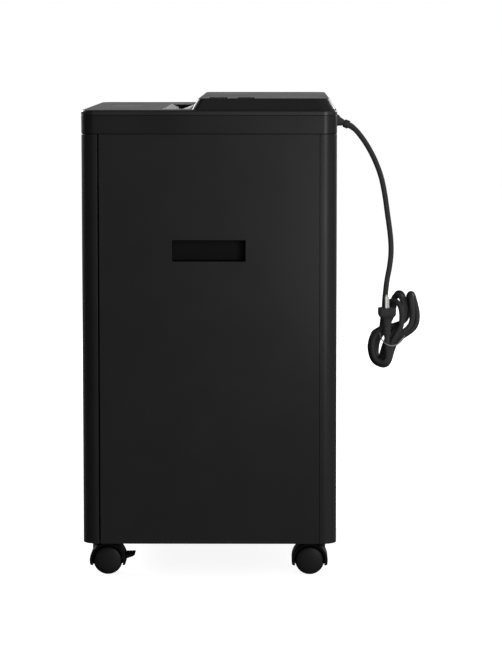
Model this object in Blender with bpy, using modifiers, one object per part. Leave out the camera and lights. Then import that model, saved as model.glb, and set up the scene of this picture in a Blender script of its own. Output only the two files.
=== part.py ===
"""Deskside paper shredder: cabinet with a pull-out bin, cutter head on top, twin-wheel casters.

Metres, +Z up, +X to the right of someone facing the front, front at -Y. The origin is on the floor
under the middle of the cabinet.
"""

import math

import bmesh
import bpy
from mathutils import Matrix, Vector

# Cabinet and head
WIDTH = 0.390
DEPTH = 0.336
BODY_BOTTOM = 0.048
SEAM_Z = 0.591
GROOVE_Z = 0.615
DECK_Z = 0.622
HUMP_Z = 0.637
CORNER = 0.018
WALL = 0.003
COVER_WALL = 0.0025
FLARE = 0.0015
SEAM = 0.0003
FRONT_GAP = 0.0010
HEAD_GAP = 0.0005
FRONT_SPLIT_Y = -0.1452
REAR_SPLIT_Y = 0.1455
FLOOR_Z = (0.0490, 0.0530)
SHELL_TOP = SEAM_Z - HEAD_GAP

# Hand grips in the side panels
GRIP_LOW = (-0.0485, 0.4216)
GRIP_HIGH = (0.0480, 0.4498)
GRIP_DEPTH = 0.0205
GRIP_WALL = 0.002
GRIP_FLANGE = 0.008

# Paper throat
THROAT_X = (-0.0770, 0.1550)
THROAT_Y = (-0.0590, -0.0280)
SLOT_Y = (-0.0500, -0.0450)
THROAT_RIM = 0.0018
THROAT_BOTTOM = 0.6105
FUNNEL_FRONT_DROP = 0.0040
FUNNEL_REAR_DROP = 0.0065

# Hump over the motor
HUMP_FRONT = (-0.0230, -0.0140)
HUMP_REAR = (0.1665, 0.1580)
HUMP_SIDE = (0.1925, 0.1835)
HUMP_FRONT_CORNER = 0.009
DECK_EDGE = 0.0015
SHOULDER_Z = DECK_Z - 0.0028

# Cutters, gear train and motor
CUTTER_Z = 0.576
CUTTER_FRONT_Y = -0.0660
CUTTER_REAR_Y = -0.0290
CUTTER_RADIUS = 0.0205
CORE_RADIUS = 0.0130
JOURNAL = 0.0060
DISCS = 9
DISC_PITCH = 0.0250
DISC_WIDTH = 0.0116
FIRST_DISC_X = -0.0720
PLATE_LEFT_X = (-0.0905, -0.0875)
PLATE_RIGHT_X = (0.1575, 0.1605)
GEAR_PLATE_X = (-0.1165, -0.1135)
SYNC_X = (0.1635, 0.1715)
STAGE_2_X = (-0.1010, -0.0930)
STAGE_1_X = (-0.1090, -0.1030)
FINAL_TEETH = 32
SMALL_TEETH = 12
FINAL_MODULE = 2 * 0.042 / (FINAL_TEETH + SMALL_TEETH)
LARGE_TEETH = 36
PINION_TEETH = 12
MOTOR_MODULE = 0.00125
SYNC_TEETH = 14
SYNC_MODULE = (CUTTER_REAR_Y - CUTTER_FRONT_Y) / SYNC_TEETH
IDLER = (CUTTER_REAR_Y + 0.042, CUTTER_Z)
MOTOR = (IDLER[0] + 0.0275, IDLER[1] + 0.0120)
MOTOR_RADIUS = 0.030
MOTOR_X = (-0.0865, -0.0015)
MOTOR_SHAFT_RADIUS = 0.0030
MOTOR_SHAFT_END = 0.0160
FAN_X = (0.0020, 0.0130)
FAN_BLADES = 8
FAN_MODULE = 0.0064
IDLER_PIN_RADIUS = 0.0030
IDLER_BORE = 0.0034
IDLER_HUB = 0.008
FIT = 0.0003
STRIPPER_Z = (0.571, 0.581)
STRIPPER_SPINE = 0.006

# Head tray
TRAY_HALF_X = 0.182
TRAY_HALF_Y = 0.150
TRAY_BOTTOM = 0.526
CHUTE_X = (-0.084, 0.154)
CHUTE_Y = (-0.080, -0.014)
CORD_HOLE = 0.0056
SADDLE_X = (-0.066, -0.022)
SADDLE_HALF_Y = 0.022
PLATE_FOOT = TRAY_BOTTOM + WALL + SEAM
PLATE_TOP = 0.604
PLATE_FRONT_Y = -0.098
PLATE_END_Y = 0.003
GEAR_PLATE_TOP = 0.610

# Paper lever and door switch
LEVER_PIVOT = (-0.0385, 0.6075)
LEVER_TIP = (-0.0545, 0.6030)
LEVER_EYE = 0.0026
LEVER_BORE = 0.0014
LEVER_X = (0.0320, 0.0400)
LEVER_HALF_TIP = 0.0010
LEVER_PIN = 0.0011
BRACKET_LOW = (0.0405, -0.0435, 0.6040)
BRACKET_HIGH = (0.0480, -0.0335, THROAT_BOTTOM + 0.001)
SWITCH_LOW = (0.0200, -0.1465, PLATE_FOOT)
SWITCH_HIGH = (0.0450, -0.1300, 0.5450)
PLUNGER_AXIS = (0.0325, 0.538)
PLUNGER_Y = (-0.1645, -0.1420)
PLUNGER_RADIUS = 0.0024

# Bin
BIN_HALF_X = 0.1665
BIN_Y = (-0.1600, 0.1500)
BIN_Z = (0.0725, 0.4700)
BIN_WALL = 0.0022
BIN_DRAFT = 0.004
BIN_CORNER = 0.010
RUNNER_X = (0.1610, 0.1690, 0.1715)
RUNNER_Y = (-0.1400, 0.1520)
RUNNER_Z = (0.0533, 0.0697, 0.0720, 0.0800)
WINDOW_HALF_X = 0.030
WINDOW_CORNER = 0.006
PANE_EDGE = 0.006
PANE_THICK = 0.0020
WINDOW_Z = (0.230, 0.420)
PULL_HALF_X = 0.062
PULL_Z = (0.4780, 0.5080)
PULL_DEPTH = 0.0210
PULL_EDGE = 0.004
PULL_WALL = 0.002

# Casters
CASTER_X = 0.150
CASTER_FRONT_Y = -0.1445
CASTER_REAR_Y = 0.1405
CASTER_TRAIL = 0.0075
WHEEL_RADIUS = 0.0195
HOOD_RADIUS = 0.0242
HOOD_HALF_WIDTH = 0.0180
WEB_HALF_WIDTH = 0.0030
AXLE_RADIUS = 0.0030
STEM_RADIUS = 0.0040
STEM_Z = (0.0402, 0.0680)
COLLAR_RADIUS = 0.0065
COLLAR_Z = (0.0468, 0.0486)
BOSS_RADIUS = 0.0118
BOSS_Z = (0.0300, 0.0465)
SOCKET_RADIUS = 0.009
SOCKET_Z = (0.0510, 0.0700)
LIP_ANGLE = 16
WHEEL_GAP = 0.0012
BRAKE_HINGE = (0.0228, 0.0047)
BRAKE_HALF_WIDTH = 0.0120
BRAKE_OUTLINE = (
    (0.0216, 0.0064),
    (0.0216, 0.0030),
    (0.0262, 0.0018),
    (0.0330, 0.0030),
    (0.0362, 0.0058),
    (0.0355, 0.0072),
    (0.0262, 0.0078),
)
BRAKE_SLOT_U = (0.0195, 0.0300)
BRAKE_SLOT_V = (-0.0010, 0.0095)

# Controls on the hump
BUTTON_X = (0.1500, 0.1760)
POWER_Y = (-0.0010, 0.0250)
REVERSE_Y = (0.0365, 0.0605)
BUTTON_PROUD = 0.0012
BUTTON_DEPTH = 0.0065
BUTTON_CORNER = 0.003
BUTTON_GAP = 0.0005
BOARD_LOW = (0.1460, -0.0080, 0.6250)
BOARD_HIGH = (0.1785, 0.0670, 0.6266)
PANEL_X = (-0.060, 0.060)
PANEL_Y = (-0.138, -0.098)
PANEL_SINK = 0.0012
PANEL_THICK = 0.0009

# Power cord: Y and Z of its centreline, hanging in the plane X = 0
CORD_RADIUS = 0.00375
CORD_EXIT_Z = 0.6003
CORD_STEP = 0.018
CORD_ROUTE = (
    (0.1872, 0.5940),
    (0.1942, 0.5904),
    (0.2020, 0.5836),
    (0.2130, 0.5677),
    (0.2243, 0.5480),
    (0.2331, 0.5250),
    (0.2385, 0.5005),
    (0.2428, 0.4710),
    (0.2468, 0.4412),
    (0.2478, 0.4183),
    (0.2458, 0.3982),
    (0.2420, 0.3770),
    (0.2402, 0.3630),
    (0.2412, 0.3565),
)
HANK_LOW = (0.2335, 0.2785, 0.0205)
HANK_HIGH = (0.2640, 0.3400, 0.0235)
HANK_X = (-0.0240, 0.0140)
PLUG_X = 0.0290
PLUG_Y = 0.2412
PLUG_Z = (0.3040, 0.3440)
PLUG_HALF_X = 0.0115
PLUG_HALF_Y = 0.0128
PLUG_NECK = 0.0050
PLUG_CORNER = 0.0045
BLADE_SPACING = 0.0127
BLADE_THICK = 0.0015
BLADE_WIDE = 0.0062
BLADE_LONG = 0.0172
TIE_GAP = 0.0016
TIE_RADIUS = 0.0009

# How far a helper shape runs past what it cuts
OVER = 0.010

# Colour, roughness and metallic value of each kind of surface
LOOKS = {
    "shell": ((0.018, 0.018, 0.019), 0.45, 0.0),
    "panel": ((0.022, 0.022, 0.023), 0.40, 0.0),
    "deck": ((0.020, 0.020, 0.021), 0.35, 0.0),
    "moulding": ((0.030, 0.030, 0.032), 0.55, 0.0),
    "satin_silver": ((0.36, 0.36, 0.37), 0.35, 0.7),
    "steel": ((0.50, 0.50, 0.51), 0.35, 1.0),
    "zinc": ((0.42, 0.43, 0.44), 0.45, 1.0),
    "nylon": ((0.62, 0.60, 0.54), 0.50, 0.0),
    "copper": ((0.20, 0.09, 0.05), 0.40, 0.6),
    "board": ((0.03, 0.12, 0.05), 0.50, 0.0),
    "clear": ((0.10, 0.10, 0.11), 0.12, 0.0),
    "rubber": ((0.015, 0.015, 0.016), 0.60, 0.0),
    "tie": ((0.35, 0.35, 0.34), 0.45, 0.0),
}

PLANES = {
    "XY": Matrix(((1, 0, 0), (0, 1, 0), (0, 0, 1))),
    "YZ": Matrix(((0, 0, 1), (1, 0, 0), (0, 1, 0))),
    "XZ": Matrix(((1, 0, 0), (0, 0, -1), (0, 1, 0))),
}


def clear_scene():
    for obj in list(bpy.data.objects):
        bpy.data.objects.remove(obj, do_unlink=True)
    for name in ("paper_shredder", "cutters"):
        collection = bpy.data.collections.new(name)
        bpy.context.scene.collection.children.link(collection)


def surface(name, look):
    """A Principled material for one sub-part."""
    colour, roughness, metallic = LOOKS[look]
    made = bpy.data.materials.new(name)
    made.use_nodes = True
    shader = made.node_tree.nodes["Principled BSDF"]
    shader.inputs["Base Color"].default_value = (*colour, 1.0)
    shader.inputs["Roughness"].default_value = roughness
    shader.inputs["Metallic"].default_value = metallic
    return made


def add(name, mesh, look, matrix=None):
    """An object for this mesh: a sub-part when it has a look, and otherwise a helper for Booleans."""
    obj = bpy.data.objects.new(name, mesh)
    if matrix is not None:
        obj.matrix_world = matrix
    if look is None:
        bpy.data.collections["cutters"].objects.link(obj)
        obj.hide_render = True
        obj.display_type = "WIRE"
        return obj
    bpy.data.collections["paper_shredder"].objects.link(obj)
    mesh.materials.append(surface(name, look))
    return obj


def set_origin(obj, point):
    """Moves the object's origin to this world point and leaves its shape where it is."""
    move = obj.matrix_world.inverted() @ Vector(point)
    obj.data.transform(Matrix.Translation(-move))
    obj.matrix_world = obj.matrix_world @ Matrix.Translation(move)
    return obj


def box(name, low, high, look=None):
    """A block between two opposite corners."""
    shape = bmesh.new()
    bmesh.ops.create_cube(shape, size=1.0)
    size = Vector(high) - Vector(low)
    bmesh.ops.scale(shape, vec=size, verts=shape.verts)
    mesh = bpy.data.meshes.new(name)
    shape.to_mesh(mesh)
    shape.free()
    return add(name, mesh, look, Matrix.Translation((Vector(low) + Vector(high)) / 2))


def plate(name, outlines, plane, span, look=None):
    """Flat outlines, the later ones holes in the first, extruded over a span along the plane's normal."""
    curve = bpy.data.curves.new(name, "CURVE")
    curve.dimensions = "2D"
    curve.fill_mode = "BOTH"
    curve.extrude = (span[1] - span[0]) / 2
    for outline in outlines:
        spline = curve.splines.new("POLY")
        spline.points.add(len(outline) - 1)
        for point, (u, v) in zip(spline.points, outline):
            point.co = (u, v, 0, 1)
        spline.use_cyclic_u = True
    turn = PLANES[plane].to_4x4()
    normal = turn @ Vector((0, 0, 1))
    sign = 1 if sum(normal) > 0 else -1
    matrix = Matrix.Translation(normal * sign * (span[0] + span[1]) / 2) @ turn
    return solid_of_curve(name, curve, matrix, look)


def solid_of_curve(name, curve, matrix, look):
    """The curve as a closed mesh, with its caps welded on."""
    helper = bpy.data.objects.new(name + "_curve", curve)
    bpy.context.scene.collection.objects.link(helper)
    helper.matrix_world = matrix
    graph = bpy.context.evaluated_depsgraph_get()
    mesh = bpy.data.meshes.new_from_object(helper.evaluated_get(graph))
    mesh.name = name
    placed = helper.matrix_world.copy()
    bpy.data.objects.remove(helper, do_unlink=True)
    shape = bmesh.new()
    shape.from_mesh(mesh)
    bmesh.ops.remove_doubles(shape, verts=shape.verts, dist=1e-6)
    shape.to_mesh(mesh)
    shape.free()
    return add(name, mesh, look, placed)


def loft(name, sections, look=None):
    """A closed solid through outlines at rising heights, each with the same number of points."""
    shape = bmesh.new()
    rings = [[shape.verts.new((x, y, z)) for x, y in outline] for z, outline in sections]
    for lower, upper in zip(rings, rings[1:]):
        for i in range(len(lower)):
            j = (i + 1) % len(lower)
            shape.faces.new((lower[i], lower[j], upper[j], upper[i]))
    shape.faces.new(list(reversed(rings[0])))
    shape.faces.new(rings[-1])
    mesh = bpy.data.meshes.new(name)
    shape.to_mesh(mesh)
    shape.free()
    return add(name, mesh, look)


def turned(name, profile, centre, axis, steps, look=None, closed=False):
    """A profile of (radius, height) points turned about an axis through the centre."""
    mesh = bpy.data.meshes.new(name)
    points = [(radius, 0, height) for radius, height in profile]
    edges = [(i, i + 1) for i in range(len(points) - 1)]
    if closed:
        edges.append((len(points) - 1, 0))
    mesh.from_pydata(points, edges, [])
    along = Vector(axis).normalized()
    turn = Vector((0, 0, 1)).rotation_difference(along).to_matrix().to_4x4()
    obj = add(name, mesh, look, Matrix.Translation(centre) @ turn)
    screw = obj.modifiers.new("Turn", "SCREW")
    screw.steps = steps
    screw.render_steps = steps
    screw.use_merge_vertices = True
    screw.merge_threshold = 1e-5
    screw.use_smooth_shade = True
    return obj


def rod(name, radius, start, end, steps, look=None):
    """A plain cylinder from one point to another."""
    along = Vector(end) - Vector(start)
    profile = [(0, along.length), (radius, along.length), (radius, 0), (0, 0)]
    return turned(name, profile, start, along, steps, look)


def cut(obj, *cutters):
    for cutter in cutters:
        combine(obj, cutter, "DIFFERENCE")
    return obj


def join(obj, *others):
    for other in others:
        combine(obj, other, "UNION")
    return obj


def combine(obj, other, operation):
    change = obj.modifiers.new(other.name, "BOOLEAN")
    change.operation = operation
    change.solver = "EXACT"
    change.object = other


def arc(centre, radius, start, end, steps):
    """Points on an arc, with both ends, angles in degrees."""
    points = []
    for i in range(steps + 1):
        angle = math.radians(start + (end - start) * i / steps)
        points.append((centre[0] + radius * math.cos(angle), centre[1] + radius * math.sin(angle)))
    return points


def circle(centre, radius, steps=20):
    return arc(centre, radius, 0, 360 - 360 / steps, steps - 1)


def rounded(low, high, radii, steps=4):
    """A rectangle with rounded corners, anticlockwise from the lower right one."""
    corners = (
        (high[0], low[1], -1, 1, 270),
        (high[0], high[1], -1, -1, 0),
        (low[0], high[1], 1, -1, 90),
        (low[0], low[1], 1, 1, 180),
    )
    if not isinstance(radii, (tuple, list)):
        radii = (radii,) * 4
    points = []
    for (x, y, into_x, into_y, start), radius in zip(corners, radii):
        centre = (x + into_x * radius, y + into_y * radius)
        points += arc(centre, radius, start, start + 90, steps)
    return points


def footprint(inset=0.0, flare=0.0):
    """The cabinet's plan outline, pulled in by an inset or let out by a flare."""
    half_x = WIDTH / 2 - inset + flare
    half_y = DEPTH / 2 - inset + flare
    return rounded((-half_x, -half_y), (half_x, half_y), max(CORNER - inset + flare, 0.001))


def u_wall(end_y, side):
    """Plan outline of a wall that wraps round the two corners on one side, +1 the rear and -1 the front."""
    half_x = WIDTH / 2
    face_y = DEPTH / 2
    outer = [(half_x, end_y)]
    outer += arc((half_x - CORNER, face_y - CORNER), CORNER, 0, 90, 5)
    outer += arc((CORNER - half_x, face_y - CORNER), CORNER, 90, 180, 5)
    outer.append((-half_x, end_y))
    inner = [(WALL - half_x, end_y)]
    inner += arc((CORNER - half_x, face_y - CORNER), CORNER - WALL, 180, 90, 5)
    inner += arc((half_x - CORNER, face_y - CORNER), CORNER - WALL, 90, 0, 5)
    inner.append((half_x - WALL, end_y))
    return [(x, y * side) for x, y in outer + inner]


def gear_outline(teeth, module, centre, phase):
    """Straight-sided teeth with backlash, the first one centred on the phase angle in radians."""
    pitch_angle = 2 * math.pi / teeth
    root = teeth * module / 2 - 1.1 * module
    tip = teeth * module / 2 + 0.75 * module
    shape = ((root, -0.29), (tip, -0.12), (tip, 0.12), (root, 0.29))
    points = []
    for tooth in range(teeth):
        for radius, side in shape:
            angle = phase + (tooth + side) * pitch_angle
            points.append((centre[0] + radius * math.cos(angle), centre[1] + radius * math.sin(angle)))
    return points


def meshing_phase(direction, teeth):
    """Phase that puts a gap towards a neighbour which has a tooth there."""
    return direction + math.pi - math.pi / teeth


def smooth_route(route, spacing):
    """Points at about this spacing on a smooth curve through the route."""
    points = [Vector(point) for point in route]
    ends = [2 * points[0] - points[1]] + points + [2 * points[-1] - points[-2]]
    found = []
    for before, start, end, after in zip(ends, ends[1:], ends[2:], ends[3:]):
        steps = max(1, round((end - start).length / spacing))
        for i in range(steps):
            t = i / steps
            found.append(
                0.5
                * (
                    2 * start
                    + (end - before) * t
                    + (2 * before - 5 * start + 4 * end - after) * t * t
                    + (3 * start - before - 3 * end + after) * t * t * t
                )
            )
    return found + [points[-1]]


def tube(name, points, radius, look, closed=False):
    curve = bpy.data.curves.new(name, "CURVE")
    curve.dimensions = "3D"
    curve.bevel_depth = radius
    curve.bevel_resolution = 2
    curve.use_fill_caps = True
    spline = curve.splines.new("POLY")
    spline.points.add(len(points) - 1)
    for point, place in zip(spline.points, points):
        point.co = (*place, 1)
    spline.use_cyclic_u = closed
    obj = bpy.data.objects.new(name, curve)
    bpy.data.collections["paper_shredder"].objects.link(obj)
    curve.materials.append(surface(name, look))
    return obj


def base_tray():
    """Floor of the cabinet, with a socket for each caster stem."""
    gap = 0.0005
    front_gap = 0.0008
    low = (-WIDTH / 2 + WALL + gap, -DEPTH / 2 + WALL + front_gap)
    high = (WIDTH / 2 - WALL - gap, DEPTH / 2 - WALL - gap)
    corner = CORNER - WALL
    tray = plate("base_tray", [rounded(low, high, corner)], "XY", FLOOR_Z, "moulding")
    for x, y in caster_places():
        socket = rod(f"socket_{x}_{y}", SOCKET_RADIUS, (x, y, SOCKET_Z[0]), (x, y, SOCKET_Z[1]), 12)
        low_end = (x, y, FLOOR_Z[0] - OVER)
        high_end = (x, y, SOCKET_Z[1] + OVER)
        bore = rod(f"socket_bore_{x}_{y}", STEM_RADIUS + FIT, low_end, high_end, 12)
        join(tray, socket)
        cut(tray, bore)


def caster_places():
    return [(x, y) for y in (CASTER_FRONT_Y, CASTER_REAR_Y) for x in (-CASTER_X, CASTER_X)]


def side_panels():
    """Flat side panels, each with a moulded hand grip behind its window."""
    for side, name in ((1, "right"), (-1, "left")):
        xs = sorted((side * (WIDTH / 2 - WALL), side * WIDTH / 2))
        low, high = GRIP_LOW, GRIP_HIGH
        window = rounded(low, high, 0.002, 1)
        panel = [
            (FRONT_SPLIT_Y + FRONT_GAP, BODY_BOTTOM),
            (REAR_SPLIT_Y - SEAM, BODY_BOTTOM),
            (REAR_SPLIT_Y - SEAM, SHELL_TOP),
            (FRONT_SPLIT_Y + FRONT_GAP, SHELL_TOP),
        ]
        plate(f"side_panel_{name}", [panel, window], "YZ", xs, "panel")
        mouth = WIDTH / 2 - WALL - SEAM
        back = mouth - GRIP_DEPTH
        edge = GRIP_FLANGE
        flange = rounded((low[0] - edge, low[1] - edge), (high[0] + edge, high[1] + edge), 0.003, 1)
        flange_x = sorted((side * mouth, side * (mouth - GRIP_WALL)))
        cup = plate(f"grip_cup_{name}", [flange], "YZ", flange_x, "moulding")
        body_x = sorted((side * back, side * (mouth - GRIP_WALL / 2)))
        body = box(
            f"grip_body_{name}",
            (body_x[0], low[0] - GRIP_WALL, low[1] - GRIP_WALL),
            (body_x[1], high[0] + GRIP_WALL, high[1] + GRIP_WALL),
        )
        hollow_x = sorted((side * (back + GRIP_WALL), side * (mouth + OVER)))
        hollow = box(f"grip_hollow_{name}", (hollow_x[0], *low), (hollow_x[1], *high))
        join(cup, body)
        cut(cup, hollow)


def rear_shell():
    """Back wall that wraps round both rear corners."""
    height = (BODY_BOTTOM, SHELL_TOP)
    plate("rear_shell", [u_wall(REAR_SPLIT_Y, 1)], "XY", height, "shell")


def runners():
    """Rails on the floor that guide and carry the bin."""
    for side, name in ((1, "right"), (-1, "left")):
        tip, web, back = RUNNER_X
        foot, shelf_under, shelf_top, top = RUNNER_Z
        section = [
            (tip, shelf_under),
            (web, shelf_under),
            (web, foot),
            (back, foot),
            (back, top),
            (web, top),
            (web, shelf_top),
            (tip, shelf_top),
        ]
        plate(f"runner_{name}", [[(side * x, z) for x, z in section]], "XZ", RUNNER_Y, "zinc")


def bin_front():
    """Full-height front of the bin, with a window and a recessed pull."""
    height = (BODY_BOTTOM, SHELL_TOP)
    front = plate("bin_front", [u_wall(-FRONT_SPLIT_Y + FRONT_GAP, -1)], "XY", height, "shell")
    face_y = -DEPTH / 2
    through = (face_y - OVER, face_y + OVER)
    window = window_outline(0, WINDOW_CORNER, 2)
    pull = pull_outline(0)
    cut(front, plate("window_cut", [window], "XZ", through), plate("pull_cut", [pull], "XZ", through))
    inside = face_y + WALL + SEAM
    pane = window_outline(PANE_EDGE, 0.004, 1)
    plate("bin_window", [pane], "XZ", (inside, inside + PANE_THICK), "clear")
    back = face_y + WALL + PULL_DEPTH
    cup = plate("bin_pull", [pull_outline(PULL_EDGE)], "XZ", (inside, back), "moulding")
    cut(cup, plate("pull_hollow", [pull], "XZ", (inside - OVER, back - PULL_WALL)))


def window_outline(edge, corner, steps):
    """Front view of the bin's window, let out by an edge."""
    low = (-WINDOW_HALF_X - edge, WINDOW_Z[0] - edge)
    high = (WINDOW_HALF_X + edge, WINDOW_Z[1] + edge)
    return rounded(low, high, corner, steps)


def pull_outline(edge):
    """Front view of the bin's recessed pull, let out by an edge."""
    low = (-PULL_HALF_X - edge, PULL_Z[0] - edge)
    high = (PULL_HALF_X + edge, PULL_Z[1] + edge)
    return rounded(low, high, 0.006, 2)


def bin_tub():
    """Open-topped bin with tapered walls and a window in its front wall."""

    def section(inset, grow):
        low = (-BIN_HALF_X + BIN_DRAFT - grow + inset, BIN_Y[0] + inset)
        high = (BIN_HALF_X - BIN_DRAFT + grow - inset, BIN_Y[1] - BIN_DRAFT + grow - inset)
        return rounded(low, high, BIN_CORNER, 2)

    outer = [(BIN_Z[0], section(0, 0)), (BIN_Z[1], section(0, BIN_DRAFT))]
    inner = [(BIN_Z[0] + BIN_WALL, section(BIN_WALL, 0)), (BIN_Z[1] + 0.002, section(BIN_WALL, BIN_DRAFT))]
    tub = loft("bin_tub", outer, "moulding")
    opening = window_outline(0, WINDOW_CORNER, 2)
    cut(
        tub,
        loft("bin_tub_hollow", inner),
        plate("bin_tub_window", [opening], "XZ", (BIN_Y[0] - OVER, BIN_Y[0] + OVER)),
    )


def head_tray():
    """Pan that hangs in the top of the cabinet, carries the mechanism and ends in the visible band."""
    bottom = SEAM_Z + HEAD_GAP
    top = GROOVE_Z - SEAM
    tray = loft("head_tray", [(bottom, footprint()), (top, footprint(flare=FLARE))], "shell")
    pan = box("pan", (-TRAY_HALF_X, -TRAY_HALF_Y, TRAY_BOTTOM), (TRAY_HALF_X, TRAY_HALF_Y, bottom + 0.002))
    well = box(
        "pan_hollow",
        (-TRAY_HALF_X + WALL, -TRAY_HALF_Y + WALL, TRAY_BOTTOM + WALL),
        (TRAY_HALF_X - WALL, TRAY_HALF_Y - WALL, top + OVER),
    )
    inset = footprint(inset=WALL)
    band = loft("band_hollow", [(bottom + WALL, inset), (top + OVER, inset)])
    chute = box(
        "chute",
        (CHUTE_X[0], CHUTE_Y[0], TRAY_BOTTOM - OVER),
        (CHUTE_X[1], CHUTE_Y[1], TRAY_BOTTOM + OVER),
    )
    back = DEPTH / 2
    exit_hole = rod(
        "cord_hole", CORD_HOLE, (0, back - OVER, CORD_EXIT_Z), (0, back + OVER, CORD_EXIT_Z), 16
    )
    plunger_x, plunger_z = PLUNGER_AXIS
    plunger_hole = rod(
        "plunger_hole",
        PLUNGER_RADIUS + 2 * FIT,
        (plunger_x, -TRAY_HALF_Y - OVER, plunger_z),
        (plunger_x, -TRAY_HALF_Y + OVER, plunger_z),
        12,
    )
    saddle = box(
        "saddle",
        (SADDLE_X[0], MOTOR[0] - SADDLE_HALF_Y, TRAY_BOTTOM + 0.001),
        (SADDLE_X[1], MOTOR[0] + SADDLE_HALF_Y, MOTOR[1] - 0.012),
    )
    cradle = rod(
        "saddle_cut", MOTOR_RADIUS + FIT, (SADDLE_X[0] - OVER, *MOTOR), (SADDLE_X[1] + OVER, *MOTOR), 20
    )
    join(tray, pan)
    cut(tray, well, band, chute, exit_hole, plunger_hole)
    join(tray, saddle)
    cut(tray, cradle)


def hump_outline(inset, level):
    """Plan of the hump at its foot (level 0) or its top (level 1)."""
    half_x = HUMP_SIDE[level] - inset
    low = (-half_x, HUMP_FRONT[level] + inset)
    high = (half_x, HUMP_REAR[level] - inset)
    rear = CORNER - inset
    front = HUMP_FRONT_CORNER - inset / 2
    return rounded(low, high, (front, rear, rear, front))


def head_cover():
    """Top cover: rim, flat deck with the throat, and the hump over the motor."""
    foot = GROOVE_Z + 0.0002
    cover = loft(
        "head_cover",
        [
            (foot, footprint(flare=FLARE)),
            (SHOULDER_Z, footprint(flare=FLARE)),
            (DECK_Z, footprint(inset=DECK_EDGE)),
        ],
        "deck",
    )
    hump = loft("hump", [(DECK_Z - 0.001, hump_outline(0, 0)), (HUMP_Z, hump_outline(0, 1))])
    under = DECK_Z - COVER_WALL
    inside = footprint(inset=COVER_WALL)
    space = loft("cover_hollow", [(foot - OVER, inside), (under, inside)])
    hump_foot = (under - 0.001, hump_outline(COVER_WALL + 0.001, 0))
    hump_space = loft("hump_hollow", [hump_foot, (HUMP_Z - COVER_WALL, hump_outline(COVER_WALL, 1))])
    join(cover, hump)
    cut(
        cover,
        space,
        hump_space,
        box(
            "throat_cut",
            (THROAT_X[0] - THROAT_RIM - FIT, THROAT_Y[0] - THROAT_RIM - FIT, DECK_Z - OVER),
            (THROAT_X[1] + THROAT_RIM + FIT, THROAT_Y[1] + THROAT_RIM + FIT, DECK_Z + OVER),
        ),
        box(
            "panel_recess",
            (PANEL_X[0] - FIT, PANEL_Y[0] - FIT, DECK_Z - PANEL_SINK),
            (PANEL_X[1] + FIT, PANEL_Y[1] + FIT, DECK_Z + OVER),
        ),
    )
    for name, ys in (("power", POWER_Y), ("reverse", REVERSE_Y)):
        hole = button_outline(ys, BUTTON_GAP)
        cut(cover, plate(f"{name}_hole", [hole], "XY", (HUMP_Z - OVER, HUMP_Z + OVER)))


def throat_trim():
    """Silver funnel that guides paper into the slot."""
    low = (THROAT_X[0] - THROAT_RIM, THROAT_Y[0] - THROAT_RIM, THROAT_BOTTOM)
    high = (THROAT_X[1] + THROAT_RIM, THROAT_Y[1] + THROAT_RIM, DECK_Z - 0.0002)
    trim = box("throat_trim", low, high, "satin_silver")
    over = 0.003
    run_front = (SLOT_Y[0] - THROAT_Y[0]) / FUNNEL_FRONT_DROP
    run_rear = (THROAT_Y[1] - SLOT_Y[1]) / FUNNEL_REAR_DROP
    funnel = [
        (THROAT_Y[0] - over * run_front, DECK_Z + over),
        (SLOT_Y[0], DECK_Z - FUNNEL_FRONT_DROP),
        (SLOT_Y[0], THROAT_BOTTOM - over),
        (SLOT_Y[1], THROAT_BOTTOM - over),
        (SLOT_Y[1], DECK_Z - FUNNEL_REAR_DROP),
        (THROAT_Y[1] + over * run_rear, DECK_Z + over),
    ]
    cut(trim, plate("funnel", [funnel], "YZ", THROAT_X))


def button_outline(ys, gap):
    """Plan of a push button, or of its hole with a gap round it."""
    low = (BUTTON_X[0] - gap, ys[0] - gap)
    high = (BUTTON_X[1] + gap, ys[1] + gap)
    return rounded(low, high, BUTTON_CORNER, 2)


def controls():
    """Two push buttons on the hump, the board under them and the flush panel on the deck."""
    for name, ys in (("button_power", POWER_Y), ("button_reverse", REVERSE_Y)):
        plate(name, [button_outline(ys, 0)], "XY", (HUMP_Z - BUTTON_DEPTH, HUMP_Z + BUTTON_PROUD), "deck")
    box("control_board", BOARD_LOW, BOARD_HIGH, "board")
    box(
        "status_panel",
        (PANEL_X[0], PANEL_Y[0], DECK_Z - PANEL_THICK),
        (PANEL_X[1], PANEL_Y[1], DECK_Z),
        "clear",
    )


def cutter_shaft(name, y, first_x, left_end, right_end):
    """Shaft and its row of cutting discs, turned about the shaft's axis."""
    gap = 0.001
    profile = [(0, right_end), (JOURNAL, right_end), (JOURNAL, PLATE_RIGHT_X[0] - gap)]
    profile.append((CORE_RADIUS, PLATE_RIGHT_X[0] - gap))
    for disc in reversed(range(DISCS)):
        centre = first_x + disc * DISC_PITCH
        for radius, side in ((CORE_RADIUS, 1), (CUTTER_RADIUS, 1), (CUTTER_RADIUS, -1), (CORE_RADIUS, -1)):
            profile.append((radius, centre + side * DISC_WIDTH / 2))
    profile.append((CORE_RADIUS, PLATE_LEFT_X[1] + gap))
    profile.append((JOURNAL, PLATE_LEFT_X[1] + gap))
    profile += [(JOURNAL, left_end), (0, left_end)]
    turned(name, profile, (0, y, CUTTER_Z), (1, 0, 0), 16, "steel")


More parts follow.
